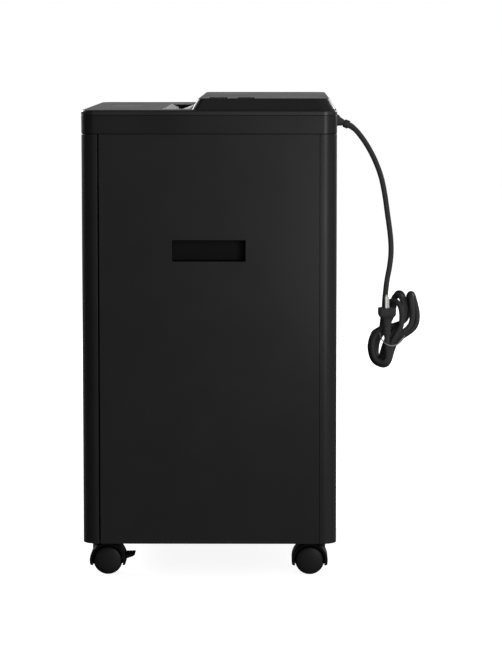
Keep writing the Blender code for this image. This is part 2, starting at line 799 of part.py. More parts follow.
def cutter_block():
    """Side plates, the two cutter shafts and the strippers that brace the plates."""
    bore = JOURNAL + FIT
    front = circle((CUTTER_FRONT_Y, CUTTER_Z), bore, 16)
    rear = circle((CUTTER_REAR_Y, CUTTER_Z), bore, 16)
    start = (PLATE_FRONT_Y, PLATE_FOOT)
    corner = 0.004
    left = rounded(start, (MOTOR[0] + MOTOR_RADIUS + corner, PLATE_TOP), corner, 1)
    right = rounded(start, (PLATE_END_Y, PLATE_TOP), corner, 1)
    motor_hole = circle(MOTOR, 0.0070, 12)
    pin_hole = circle(IDLER, IDLER_PIN_RADIUS + FIT, 12)
    plate("cutter_plate_left", [left, front, rear, motor_hole, pin_hole], "YZ", PLATE_LEFT_X, "zinc")
    plate("cutter_plate_right", [right, front, rear], "YZ", PLATE_RIGHT_X, "zinc")
    right_end = SYNC_X[1] + 0.001
    rear_disc_x = FIRST_DISC_X + DISC_PITCH / 2
    cutter_shaft("cutter_shaft_front", CUTTER_FRONT_Y, FIRST_DISC_X, PLATE_LEFT_X[0], right_end)
    cutter_shaft("cutter_shaft_rear", CUTTER_REAR_Y, rear_disc_x, GEAR_PLATE_X[0], right_end)
    strippers()


def strippers():
    """Combs that lift the strips out of the gaps between the discs."""
    reach = CORE_RADIUS + 0.0012
    back = CUTTER_RADIUS + 0.0018
    finger = (DISC_PITCH - DISC_WIDTH) / 2 - 0.001
    rows = (
        ("stripper_front", CUTTER_FRONT_Y, -1, FIRST_DISC_X),
        ("stripper_rear", CUTTER_REAR_Y, 1, FIRST_DISC_X + DISC_PITCH / 2),
    )
    for name, shaft_y, side, first_x in rows:
        outline = [
            (PLATE_RIGHT_X[0] - SEAM, shaft_y + side * back),
            (PLATE_RIGHT_X[0] - SEAM, shaft_y + side * (back + STRIPPER_SPINE)),
            (PLATE_LEFT_X[1] + SEAM, shaft_y + side * (back + STRIPPER_SPINE)),
            (PLATE_LEFT_X[1] + SEAM, shaft_y + side * back),
        ]
        for gap in range(DISCS - 1):
            middle = first_x + (gap + 0.5) * DISC_PITCH
            outline += [
                (middle - finger, shaft_y + side * back),
                (middle - finger, shaft_y + side * reach),
                (middle + finger, shaft_y + side * reach),
                (middle + finger, shaft_y + side * back),
            ]
        plate(name, [outline], "XY", STRIPPER_Z, "nylon")


def gear(name, teeth, module, centre, phase, span, bore, look="nylon"):
    outlines = [gear_outline(teeth, module, centre, phase), circle(centre, bore, 12)]
    obj = plate(name, outlines, "YZ", span, look)
    return set_origin(obj, ((span[0] + span[1]) / 2, *centre))


def gear_train():
    """Motor pinion, compound idler, final gear, and the pair that times the two cutter shafts."""
    front = (CUTTER_FRONT_Y, CUTTER_Z)
    rear = (CUTTER_REAR_Y, CUTTER_Z)
    on_shaft = JOURNAL + FIT
    gear("timing_gear_rear", SYNC_TEETH, SYNC_MODULE, rear, math.pi, SYNC_X, on_shaft, "steel")
    phase = meshing_phase(math.pi, SYNC_TEETH)
    gear("timing_gear_front", SYNC_TEETH, SYNC_MODULE, front, phase, SYNC_X, on_shaft, "steel")
    gear("final_gear", FINAL_TEETH, FINAL_MODULE, rear, 0.0, STAGE_2_X, on_shaft)
    small = meshing_phase(0.0, SMALL_TEETH)
    idler = gear("idler_gear", SMALL_TEETH, FINAL_MODULE, IDLER, small, STAGE_2_X, IDLER_BORE)
    to_motor = math.atan2(MOTOR[1] - IDLER[1], MOTOR[0] - IDLER[0])
    large = gear("idler_large", LARGE_TEETH, MOTOR_MODULE, IDLER, to_motor, STAGE_1_X, IDLER_BORE, None)
    hub_span = (STAGE_1_X[1] - 0.001, STAGE_2_X[0] + 0.001)
    hub = plate("idler_hub", [circle(IDLER, IDLER_HUB, 12), circle(IDLER, IDLER_BORE, 12)], "YZ", hub_span)
    join(idler, hub, large)
    pinion_phase = meshing_phase(to_motor, PINION_TEETH)
    on_motor = MOTOR_SHAFT_RADIUS + FIT
    gear("motor_pinion", PINION_TEETH, MOTOR_MODULE, MOTOR, pinion_phase, STAGE_1_X, on_motor, "steel")
    margin = 0.018
    low = (CUTTER_REAR_Y - margin - 0.003, PLATE_FOOT)
    outline = rounded(low, (MOTOR[0] + margin, GEAR_PLATE_TOP), 0.006, 1)
    holes = [
        circle(rear, on_shaft, 16),
        circle(MOTOR, MOTOR_SHAFT_RADIUS + 2 * FIT, 12),
    ]
    outer = plate("gear_plate", [outline, *holes], "YZ", GEAR_PLATE_X, "zinc")
    pin_start = (GEAR_PLATE_X[0] + 0.001, *IDLER)
    join(outer, rod("idler_pin", IDLER_PIN_RADIUS, pin_start, (PLATE_LEFT_X[1], *IDLER), 12))


def motor():
    """Motor can, shaft and cooling fan on one axis."""
    length = MOTOR_X[1] - MOTOR_X[0]
    bore = MOTOR_SHAFT_RADIUS + 0.0004
    bearing = 0.012
    bearing_long = 0.004
    profile = [
        (bore, length),
        (bearing, length),
        (bearing, length - bearing_long),
        (MOTOR_RADIUS, length - bearing_long),
        (MOTOR_RADIUS, 0),
        (bore, 0),
    ]
    turned("motor_body", profile, (MOTOR_X[0], *MOTOR), (1, 0, 0), 20, "zinc", closed=True)
    shaft_start = (GEAR_PLATE_X[0] + 0.0005, *MOTOR)
    rod("motor_shaft", MOTOR_SHAFT_RADIUS, shaft_start, (MOTOR_SHAFT_END, *MOTOR), 10, "steel")
    blades = gear_outline(FAN_BLADES, FAN_MODULE, MOTOR, 0.0)
    bore_outline = circle(MOTOR, MOTOR_SHAFT_RADIUS + FIT, 10)
    fan = plate("motor_fan", [blades, bore_outline], "YZ", FAN_X, "moulding")
    set_origin(fan, (sum(FAN_X) / 2, *MOTOR))


def sensors():
    """Paper lever on a bracket under the slot, and the door switch with its plunger."""
    outline = arc(LEVER_PIVOT, LEVER_EYE, -60, 240, 10)
    outline += [(LEVER_TIP[0], LEVER_TIP[1] + LEVER_HALF_TIP), (LEVER_TIP[0], LEVER_TIP[1] - LEVER_HALF_TIP)]
    lever = plate("paper_lever", [outline, circle(LEVER_PIVOT, LEVER_BORE, 8)], "YZ", LEVER_X, "moulding")
    set_origin(lever, (sum(LEVER_X) / 2, *LEVER_PIVOT))
    bracket = box("lever_bracket", BRACKET_LOW, BRACKET_HIGH)
    pin_end = (sum((BRACKET_LOW[0], BRACKET_HIGH[0])) / 2, *LEVER_PIVOT)
    pin = rod("lever_pin", LEVER_PIN, (LEVER_X[0] - 0.001, *LEVER_PIVOT), pin_end, 8)
    join(bpy.data.objects["throat_trim"], bracket, pin)
    x, z = PLUNGER_AXIS
    switch = box("door_switch", SWITCH_LOW, SWITCH_HIGH, "moulding")
    bore_end = PLUNGER_Y[1] + 0.004
    bore = rod("switch_bore", PLUNGER_RADIUS + FIT, (x, SWITCH_LOW[1] - OVER, z), (x, bore_end, z), 12)
    cut(switch, bore)
    rod("switch_plunger", PLUNGER_RADIUS, (x, PLUNGER_Y[0], z), (x, PLUNGER_Y[1], z), 12, "nylon")


def caster(tag, x, y, trail, brake):
    """One twin-wheel caster: stem, hood with its axle, and two wheels."""
    wheel_y = y + trail * CASTER_TRAIL
    wheel_z = WHEEL_RADIUS
    centre = (wheel_y, wheel_z)
    stem_profile = [
        (0, STEM_Z[1]),
        (STEM_RADIUS, STEM_Z[1]),
        (STEM_RADIUS, COLLAR_Z[1]),
        (COLLAR_RADIUS, COLLAR_Z[1]),
        (COLLAR_RADIUS, COLLAR_Z[0]),
        (STEM_RADIUS, COLLAR_Z[0]),
        (STEM_RADIUS, STEM_Z[0]),
        (0, STEM_Z[0]),
    ]
    turned(f"caster_stem_{tag}", stem_profile, (x, y, 0), (0, 0, 1), 12, "steel")
    half = HOOD_HALF_WIDTH
    blank = arc(centre, HOOD_RADIUS, -LIP_ANGLE, 180 + LIP_ANGLE, 14)
    hood = plate(f"caster_hood_{tag}", [blank], "YZ", (x - half, x + half), "moulding")
    set_origin(hood, (x, y, BOSS_Z[1]))
    join(hood, rod(f"boss_{tag}", BOSS_RADIUS, (x, y, BOSS_Z[0]), (x, y, BOSS_Z[1]), 20))
    for side in (-1, 1):
        near = x + side * WEB_HALF_WIDTH
        far = x + side * (half + OVER)
        well = rod(f"wheel_well_{tag}_{side}", WHEEL_RADIUS + WHEEL_GAP, (near, *centre), (far, *centre), 20)
        cut(hood, well)
    bore_start = (x, y, STEM_Z[0] - FIT)
    bore_end = (x, y, BOSS_Z[1] + OVER)
    cut(hood, rod(f"stem_bore_{tag}", STEM_RADIUS + FIT, bore_start, bore_end, 12))
    if brake:
        cut(hood, brake_slot(tag, x, wheel_y, wheel_z, trail))
    join(hood, rod(f"axle_{tag}", AXLE_RADIUS, (x - half, *centre), (x + half, *centre), 12))
    bore = AXLE_RADIUS + FIT
    width = HOOD_HALF_WIDTH - WEB_HALF_WIDTH - 0.0006
    crown = 0.0006
    round_over = 0.0030
    wheel_profile = [
        (bore, width),
        (WHEEL_RADIUS - round_over, width - crown),
        (WHEEL_RADIUS, width - crown - round_over),
        (WHEEL_RADIUS, 0),
        (bore, 0),
    ]
    for side, name in ((1, "outer"), (-1, "inner")):
        facing = side * math.copysign(1, x)
        start = (x + facing * (WEB_HALF_WIDTH + 0.0005), *centre)
        turned(f"wheel_{name}_{tag}", wheel_profile, start, (facing, 0, 0), 20, "rubber", closed=True)
    if brake:
        brake_lever(tag, x, wheel_y, wheel_z, trail)


def brake_slot(tag, x, wheel_y, wheel_z, trail):
    """Window in the back of the hood for the brake lever."""
    ys = sorted(wheel_y + trail * u for u in BRAKE_SLOT_U)
    zs = [wheel_z + v for v in BRAKE_SLOT_V]
    half = BRAKE_HALF_WIDTH + 2 * FIT
    return box(f"brake_slot_{tag}", (x - half, ys[0], zs[0]), (x + half, ys[1], zs[1]))


def brake_lever(tag, x, wheel_y, wheel_z, trail):
    """Toe lever hinged in the back of the hood."""
    points = [(wheel_y + trail * u, wheel_z + v) for u, v in BRAKE_OUTLINE]
    span = (x - BRAKE_HALF_WIDTH, x + BRAKE_HALF_WIDTH)
    lever = plate(f"brake_lever_{tag}", [points], "YZ", span, "moulding")
    set_origin(lever, (x, wheel_y + trail * BRAKE_HINGE[0], wheel_z + BRAKE_HINGE[1]))


def casters():
    for y, trail, end in ((CASTER_FRONT_Y, 1, "front"), (CASTER_REAR_Y, -1, "rear")):
        for side, hand in ((1, "right"), (-1, "left")):
            caster(f"{end}_{hand}", side * CASTER_X, y, trail, end == "front")


def strain_relief():
    """Ribbed boot where the cord leaves the back of the head."""
    back = DEPTH / 2
    profile = [
        (0, 0.0080),
        (0.0048, 0.0080),
        (0.0072, 0.0026),
        (0.0072, 0.0016),
        (0.0050, 0.0016),
        (0.0050, -0.0060),
        (0, -0.0060),
    ]
    boot = turned("strain_relief", profile, (0, back, CORD_EXIT_Z), (0, 1, 0), 16, "rubber")
    start = Vector((0, back + 0.0055, CORD_EXIT_Z))
    end = Vector((0, *CORD_ROUTE[0]))
    along = (end - start).length - 2 * SEAM
    sleeve = [
        (0, along),
        (0.0046, along),
        (0.0058, along - 0.0045),
        (0.0058, along - 0.0065),
        (0.0044, along - 0.0085),
        (0.0044, 0),
        (0, 0),
    ]
    join(boot, turned("boot_sleeve", sleeve, start, end - start, 16))


def hank_outline():
    """Outline round two circles, the hank's two ends."""
    (y0, z0, r0), (y1, z1, r1) = HANK_LOW, HANK_HIGH
    lean = math.degrees(math.atan2(z1 - z0, y1 - y0))
    spread = math.degrees(math.asin((r1 - r0) / math.hypot(y1 - y0, z1 - z0)))
    upper = arc((y1, z1), r1, lean - 90 - spread, lean + 90 + spread, 10)
    lower = arc((y0, z0), r0, lean + 90 + spread, lean + 270 - spread, 10)
    return upper + lower


def power_cord():
    """Cord, its tied hank, the plug and the wire tie."""
    points = [(0, y, z) for y, z in smooth_route(CORD_ROUTE, CORD_STEP)]
    tube("power_cord", points, CORD_RADIUS, "rubber")
    plate("cord_hank", [hank_outline()], "YZ", HANK_X, "rubber")
    plug()
    cord_tie()


def plug():
    """Two-pin plug with its blades up, its body a tapered moulding."""
    bottom, top = PLUG_Z

    def section(half_u, half_v):
        return rounded((PLUG_X - half_v, PLUG_Y - half_u), (PLUG_X + half_v, PLUG_Y + half_u), PLUG_CORNER, 2)

    body = loft(
        "plug",
        [
            (bottom, section(PLUG_NECK, PLUG_NECK)),
            (bottom + 0.012, section(PLUG_NECK + 0.001, PLUG_NECK + 0.001)),
            (bottom + 0.024, section(PLUG_HALF_Y, PLUG_HALF_X)),
            (top, section(PLUG_HALF_Y - 0.001, PLUG_HALF_X - 0.001)),
        ],
        "rubber",
    )
    for side in (-1, 1):
        x = PLUG_X + side * BLADE_SPACING / 2
        low = (x - BLADE_THICK / 2, PLUG_Y - BLADE_WIDE / 2, top - 0.002)
        high = (x + BLADE_THICK / 2, PLUG_Y + BLADE_WIDE / 2, top + BLADE_LONG)
        join(body, box(f"blade_{side}", low, high))


def cord_tie():
    """Wire tie round the waist of the hank."""
    (y0, z0, r0), (y1, z1, r1) = HANK_LOW, HANK_HIGH
    middle = Vector((sum(HANK_X) / 2, (y0 + y1) / 2, (z0 + z1) / 2))
    along = Vector((0, y1 - y0, z1 - z0)).normalized()
    across = Vector((0, along.z, -along.y))
    half_u = (r0 + r1) / 2 + TIE_GAP
    half_v = (HANK_X[1] - HANK_X[0]) / 2 + TIE_GAP
    outline = rounded((-half_u, -half_v), (half_u, half_v), 0.002, 2)
    points = [middle + across * u + Vector((1, 0, 0)) * v for u, v in outline]
    tube("cord_tie", points, TIE_RADIUS, "tie", closed=True)


def shade_round(obj):
    if obj.type == "MESH":
        obj.data.shade_smooth()
        obj.data.set_sharp_from_angle(angle=math.radians(35))


def main():
    clear_scene()
    base_tray()
    side_panels()
    rear_shell()
    runners()
    bin_front()
    bin_tub()
    head_tray()
    head_cover()
    throat_trim()
    controls()
    cutter_block()
    gear_train()
    motor()
    sensors()
    casters()
    strain_relief()
    power_cord()
    for obj in bpy.data.collections["paper_shredder"].objects:
        shade_round(obj)


main()
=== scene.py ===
"""Looks of a deskside paper shredder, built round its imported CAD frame.

Metres, +Z up, front at -Y. The camera looks at the right-hand side of the cabinet.
"""

import math

import bmesh
import bpy
from mathutils import Matrix, Vector


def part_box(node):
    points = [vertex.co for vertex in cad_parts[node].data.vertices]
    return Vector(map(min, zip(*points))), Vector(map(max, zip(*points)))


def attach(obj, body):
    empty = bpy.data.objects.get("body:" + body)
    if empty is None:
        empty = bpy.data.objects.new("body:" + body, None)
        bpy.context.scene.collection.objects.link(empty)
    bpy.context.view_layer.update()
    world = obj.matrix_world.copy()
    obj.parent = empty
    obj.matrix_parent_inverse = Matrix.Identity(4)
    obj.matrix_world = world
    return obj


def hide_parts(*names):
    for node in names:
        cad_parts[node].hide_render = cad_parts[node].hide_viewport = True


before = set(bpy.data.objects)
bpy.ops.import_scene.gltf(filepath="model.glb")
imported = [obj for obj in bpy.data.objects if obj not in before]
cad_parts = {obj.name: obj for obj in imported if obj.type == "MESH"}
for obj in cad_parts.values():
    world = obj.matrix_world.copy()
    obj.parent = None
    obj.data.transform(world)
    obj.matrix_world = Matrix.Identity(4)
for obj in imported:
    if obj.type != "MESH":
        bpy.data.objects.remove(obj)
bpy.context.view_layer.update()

# Cabinet and head
BODY_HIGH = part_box("rear_shell")[1]
HALF_X = BODY_HIGH.x
HALF_Y = BODY_HIGH.y
BODY_TOP = BODY_HIGH.z
CORNER = 0.018
CORNER_STEPS = 14
WALL = 0.003
# Gap between the rear shell's top and the band round the head
HEAD_GAP = 0.0006
# How far the head stands out past the cabinet
FLARE = 0.0002
SEAM_ROUND = 0.0007
DECK = 0.622
# Foot of the throat and Y of the paper slot's two walls
THROAT_FOOT = 0.6105
SLOT = (-0.0500, -0.0450)

# Casters
WHEEL_RADIUS = 0.0195
HOOD_RADIUS = 0.0242

# Cord: Y and Z of its centreline where it hangs, in the plane X = 0
CORD_DIAMETER = 0.0075
CORD_EXIT = (0.0, HALF_Y, 0.6003)
CORD_ROUTE = (
    (0.1872, 0.5960),
    (0.1942, 0.5919),
    (0.2020, 0.5842),
    (0.2136, 0.5680),
    (0.2243, 0.5480),
    (0.2331, 0.5250),
    (0.2385, 0.5005),
    (0.2428, 0.4710),
    (0.2468, 0.4412),
    (0.2478, 0.4183),
    (0.2458, 0.3982),
    (0.2420, 0.3770),
    (0.2402, 0.3630),
    (0.2412, 0.3565),
)

PLANES = {
    "XY": Matrix(((1, 0, 0), (0, 1, 0), (0, 0, 1))),
    "YZ": Matrix(((0, 0, 1), (1, 0, 0), (0, 1, 0))),
    "XZ": Matrix(((1, 0, 0), (0, 0, -1), (0, 1, 0))),
}


# -------- mesh helpers


def add(name, data):
    obj = bpy.data.objects.new(name, data)
    bpy.context.scene.collection.objects.link(obj)
    return obj


def from_bmesh(name, shape):
    mesh = bpy.data.meshes.new(name)
    shape.to_mesh(mesh)
    shape.free()
    return add(name, mesh)


def evaluated(obj):
    """A new mesh of the object as its modifiers leave it."""
    bpy.context.view_layer.update()
    graph = bpy.context.evaluated_depsgraph_get()
    return bpy.data.meshes.new_from_object(obj.evaluated_get(graph))


def bake(obj):
    """Applies the object's modifiers."""
    mesh = evaluated(obj)
    obj.modifiers.clear()
    obj.data = mesh
    return obj


def box(name, low, high):
    shape = bmesh.new()
    bmesh.ops.create_cube(shape, size=1.0)
    bmesh.ops.scale(shape, vec=Vector(high) - Vector(low), verts=shape.verts)
    bmesh.ops.translate(shape, vec=(Vector(low) + Vector(high)) / 2, verts=shape.verts)
    return from_bmesh(name, shape)


def merge_flats(shape, angle):
    """Merges neighbouring faces that meet at less than an angle in degrees."""
    limit = math.radians(angle)
    bmesh.ops.dissolve_limit(
        shape, angle_limit=limit, verts=shape.verts, edges=shape.edges, use_dissolve_boundaries=False
    )


def polyline(curve, points):
    spline = curve.splines.new("POLY")
    spline.points.add(len(points) - 1)
    for point, place in zip(spline.points, points):
        point.co = (*place, 1)
    return spline


def plate(name, outlines, plane, span):
    """Flat outlines, the later ones holes in the first, extruded over a span along the plane's normal."""
    curve = bpy.data.curves.new(name, "CURVE")
    curve.dimensions = "2D"
    curve.fill_mode = "BOTH"
    curve.extrude = (span[1] - span[0]) / 2
    for outline in outlines:
        polyline(curve, [(u, v, 0) for u, v in outline]).use_cyclic_u = True
    turn = PLANES[plane].to_4x4()
    normal = turn @ Vector((0, 0, 1))
    sign = 1 if sum(normal) > 0 else -1
    matrix = Matrix.Translation(normal * sign * (span[0] + span[1]) / 2) @ turn
    helper = add(name + "_curve", curve)
    mesh = evaluated(helper)
    bpy.data.objects.remove(helper, do_unlink=True)
    shape = bmesh.new()
    shape.from_mesh(mesh)
    bmesh.ops.remove_doubles(shape, verts=shape.verts, dist=1e-6)
    merge_flats(shape, 0.5)
    shape.to_mesh(mesh)
    shape.free()
    mesh.transform(matrix)
    return add(name, mesh)


def bridge(shape, rings, closed=False):
    """Faces from each ring of corners to the next, and over the ends. A ring can be a single corner."""
    count = max(len(ring) for ring in rings)
    pairs = list(zip(rings, rings[1:]))
    if closed:
        pairs.append((rings[-1], rings[0]))
    else:
        for ring in (rings[0][::-1], rings[-1]):
            if len(ring) > 2:
                shape.faces.new(ring)
    for lower, upper in pairs:
        for i in range(count):
            corners = []
            for ring, k in ((lower, i), (lower, i + 1), (upper, i + 1), (upper, i)):
                if ring[k % len(ring)] not in corners:
                    corners.append(ring[k % len(ring)])
            if len(corners) > 2:
                shape.faces.new(corners)


def loft(name, sections):
    """A closed solid through outlines of (z, points), each with the same number of points."""
    shape = bmesh.new()
    bridge(shape, [[shape.verts.new((x, y, z)) for x, y in outline] for z, outline in sections])
    return from_bmesh(name, shape)


def turned(name, profile, centre, axis, steps=48, closed=False):
    """A profile of (radius, height) points turned about an axis through the centre."""
    shape = bmesh.new()
    rings = []
    for radius, height in profile:
        around = circle((0, 0), radius, steps) if radius else [(0, 0)]
        rings.append([shape.verts.new((x, y, height)) for x, y in around])
    bridge(shape, rings, closed)
    bmesh.ops.recalc_face_normals(shape, faces=shape.faces)
    obj = from_bmesh(name, shape)
    turn = Vector((0, 0, 1)).rotation_difference(Vector(axis).normalized()).to_matrix().to_4x4()
    obj.data.transform(Matrix.Translation(centre) @ turn)
    return obj


def rod(name, radius, start, end, steps=48, edge=0.0):
    """A cylinder from one point to another, its ends rounded off by an edge."""
    along = Vector(end) - Vector(start)
    long = along.length
    profile = [(0, 0), (radius, 0), (radius, long), (0, long)]
    if edge:
        profile[1:3] = [(radius - edge, 0), (radius, edge), (radius, long - edge), (radius - edge, long)]
    return turned(name, profile, start, along, steps)


def combine(obj, others, operation):
    for other in others:
        change = obj.modifiers.new(other.name, "BOOLEAN")
        change.operation = operation
        change.solver = "EXACT"
        change.object = other
    bake(obj)
    for other in others:
        bpy.data.objects.remove(other, do_unlink=True)
    return obj


def cut(obj, *cutters):
    return combine(obj, cutters, "DIFFERENCE")


def join(obj, *others):
    return combine(obj, others, "UNION")


def together(name, objects):
    """Several closed meshes as the shells of one object."""
    shape = bmesh.new()
    for obj in objects:
        shape.from_mesh(obj.data)
        bpy.data.objects.remove(obj, do_unlink=True)
    return from_bmesh(name, shape)


def soften(obj, width, segments=3, angle=30.0):
    """Rounds the sharp edges and keeps the flats flat."""
    bevel = obj.modifiers.new("Edges", "BEVEL")
    bevel.width = width
    bevel.segments = segments
    bevel.limit_method = "ANGLE"
    bevel.angle_limit = math.radians(angle)
    bevel.use_clamp_overlap = True
    bevel.miter_outer = "MITER_ARC"
    bake(obj)
    return smooth(obj)


def smooth(obj, angle=35.0):
    obj.data.shade_smooth()
    obj.data.set_sharp_from_angle(angle=math.radians(angle))
    flat = obj.modifiers.new("Flats", "WEIGHTED_NORMAL")
    flat.keep_sharp = True
    return bake(obj)


def polar(centre, radius, angle):
    return centre[0] + radius * math.cos(angle), centre[1] + radius * math.sin(angle)


def arc(centre, radius, start, end, steps):
    """Points on an arc, with both ends, angles in degrees."""
    angles = [math.radians(start + (end - start) * i / steps) for i in range(steps + 1)]
    return [polar(centre, radius, angle) for angle in angles]


def mixed(first, second, t):
    """Points at a share t of the way from one list of points to another."""
    return [tuple(p + (q - p) * t for p, q in zip(a, b)) for a, b in zip(first, second)]


def circle(centre, radius, steps=48):
    return arc(centre, radius, 0, 360 - 360 / steps, steps - 1)


def rounded(low, high, radii, steps=8):
    """A rectangle with rounded corners, anticlockwise from the lower right one."""
    if not isinstance(radii, tuple):
        radii = (radii,) * 4
    points = []
    for start, radius in zip((270, 0, 90, 180), radii):
        x = high[0] - radius if start in (270, 0) else low[0] + radius
        y = high[1] - radius if start in (0, 90) else low[1] + radius
        points += arc((x, y), radius, start, start + 90, steps)
    return points


def framed(node, plane, inset, radius, steps):
    """A node's box as a rounded outline in a plane, pulled in by an inset."""
    low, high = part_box(node)
    across, up = ("XYZ".index(axis) for axis in plane)
    lows = (low[across] + inset, low[up] + inset)
    highs = (high[across] - inset, high[up] - inset)
    return rounded(lows, highs, radius, steps)


def centre_of(node):
    low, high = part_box(node)
    return (low + high) / 2


def footprint(inset=0.0):
    """The cabinet's plan outline, pulled in by an inset, or let out where it is negative."""
    half_x = HALF_X - inset
    half_y = HALF_Y - inset
    return rounded((-half_x, -half_y), (half_x, half_y), max(CORNER - inset, 0.001), CORNER_STEPS)


def smooth_route(points, spacing):
    """Points at about this spacing on a smooth curve through the given points."""
    points = [Vector(point) for point in points]
    ends = [2 * points[0] - points[1]] + points + [2 * points[-1] - points[-2]]
    found = []
    for before, start, end, after in zip(ends, ends[1:], ends[2:], ends[3:]):
        steps = max(1, round((end - start).length / spacing))
        for i in range(steps):
            t = i / steps
            square = 2 * before - 5 * start + 4 * end - after
            cube = 3 * start - before - 3 * end + after
            found.append((2 * start + (end - before) * t + square * t**2 + cube * t**3) / 2)
    return found + [points[-1]]


def sweep(name, points, radii, sides=20, closed=False):
    """A tube along the points, with a radius at each of them."""
    points = [Vector(p) for p in points]
    count = len(points)
    shape = bmesh.new()
    rings = []
    side = None
    for i, point in enumerate(points):
        after = points[(i + 1) % count] if closed or i + 1 < count else point
        before = points[i - 1] if closed or i else point
        along = (after - before).normalized()
        if side is None:
            side = along.cross(Vector((0.9, 0.1, 0.2))).normalized()
        side = (side - along * side.dot(along)).normalized()
        up = along.cross(side)
        around = circle((0, 0), radii[i], sides)
        rings.append([shape.verts.new(point + side * a + up * b) for a, b in around])
    bridge(shape, rings, closed)
    bmesh.ops.recalc_face_normals(shape, faces=shape.faces)
    return smooth(from_bmesh(name, shape), 50)


def copied(node, name):
    """A copy of a CAD node's mesh, its flat faces merged, ready to be refined."""
    shape = bmesh.new()
    shape.from_mesh(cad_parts[node].data)
    bmesh.ops.remove_doubles(shape, verts=shape.verts, dist=1e-5)
    merge_flats(shape, 1)
    return from_bmesh(name, shape)


# -------- materials


class Nodes:
    """A short way to wire the nodes of a material or the world."""

    def __init__(self, owner, place="Object"):
        owner.use_nodes = True
        self.owner = owner
        self.tree = owner.node_tree
        self.place = self.add("ShaderNodeTexCoord").outputs[place]

    def add(self, kind, inputs=(), **settings):
        node = self.tree.nodes.new(kind)
        for key, value in settings.items():
            setattr(node, key, value)
        self.fill(node, inputs)
        return node

    def fill(self, node, inputs):
        """Gives a node's inputs a value each, or a link where the value is another node's output."""
        for key, value in dict(inputs).items():
            if isinstance(value, bpy.types.NodeSocket):
                self.tree.links.new(value, node.inputs[key])
            else:
                node.inputs[key].default_value = value

    def shade(self, inputs):
        """Fills in a material's shader and gives the material back."""
        self.fill(self.tree.nodes["Principled BSDF"], inputs)
        return self.owner

    def noise(self, scale, detail=2.0, roughness=0.5, stretch=(1, 1, 1)):
        place = self.place
        if stretch != (1, 1, 1):
            place = self.add("ShaderNodeMapping", {"Vector": place, "Scale": stretch}).outputs["Vector"]
        inputs = {"Vector": place, "Scale": scale, "Detail": detail, "Roughness": roughness}
        return self.add("ShaderNodeTexNoise", inputs).outputs["Fac"]

    def between(self, source, low, high, from_low=0.3, from_high=0.7):
        """The source, stretched to run from one value to another."""
        ends = {"From Min": from_low, "From Max": from_high, "To Min": low, "To Max": high}
        return self.add("ShaderNodeMapRange", {"Value": source, **ends}).outputs["Result"]

    def blend(self, source, first, second):
        """A colour between two, as the source goes from 0 to 1."""
        inputs = {0: source, 6: (*first, 1), 7: (*second, 1)}
        return self.add("ShaderNodeMix", inputs, data_type="RGBA").outputs[2]

    def bump(self, height, depth):
        inputs = {"Height": height, "Distance": depth, "Strength": 1.0}
        return self.add("ShaderNodeBump", inputs).outputs["Normal"]


def new_material(name):
    return Nodes(bpy.data.materials.new(name))


def grey(value):
    return (value, value, value)


def moulded(name, colour, rough, grain, depth, specular, spread=0.06, mottle=0.10):
    """Moulded plastic: a fine sparked grain, faint wear in the gloss and a little unevenness."""
    made = new_material(name)
    slow = made.noise(14, 3)
    darker = tuple(c * (1 - mottle) for c in colour)
    lighter = tuple(c * (1 + mottle) for c in colour)
    inputs = {
        "Base Color": made.blend(made.between(slow, 0, 1), darker, lighter),
        "Roughness": made.between(slow, rough - spread, rough + spread),
        "Normal": made.bump(made.noise(grain, 2, 0.6), depth),
        "Specular IOR Level": specular,
    }
    return made.shade(inputs)


def metal(name, colour, rough, stretch, scale):
    """Bare or plated metal with fine machining marks."""
    made = new_material(name)
    marks = made.noise(scale, 3, 0.6, stretch)
    worn = tuple(c * 0.75 for c in colour)
    inputs = {
        "Base Color": made.blend(made.between(made.noise(30, 3), 0, 1), worn, colour),
        "Roughness": made.between(marks, rough - 0.08, rough + 0.10),
        "Normal": made.bump(marks, 0.00002),
        "Metallic": 1.0,
    }
    return made.shade(inputs)


def clear_plastic():
    """Smoked clear plastic of the windows."""
    made = new_material("smoked_clear")
    inputs = {
        "Base Color": (0.10, 0.10, 0.11, 1),
        "Roughness": made.between(made.noise(60, 3), 0.05, 0.16),
        "Transmission Weight": 0.85,
        "IOR": 1.49,
    }
    return made.shade(inputs)


def circuit_board():
    made = new_material("circuit_board")
    tracks = made.noise(220, 1, 0.4, (1, 3, 1))
    lit = made.between(tracks, 0, 1, 0.48, 0.52)
    inputs = {
        "Base Color": made.blend(lit, (0.012, 0.075, 0.022), (0.020, 0.120, 0.038)),
        "Roughness": 0.35,
        "Normal": made.bump(tracks, 0.00003),
    }
    return made.shade(inputs)


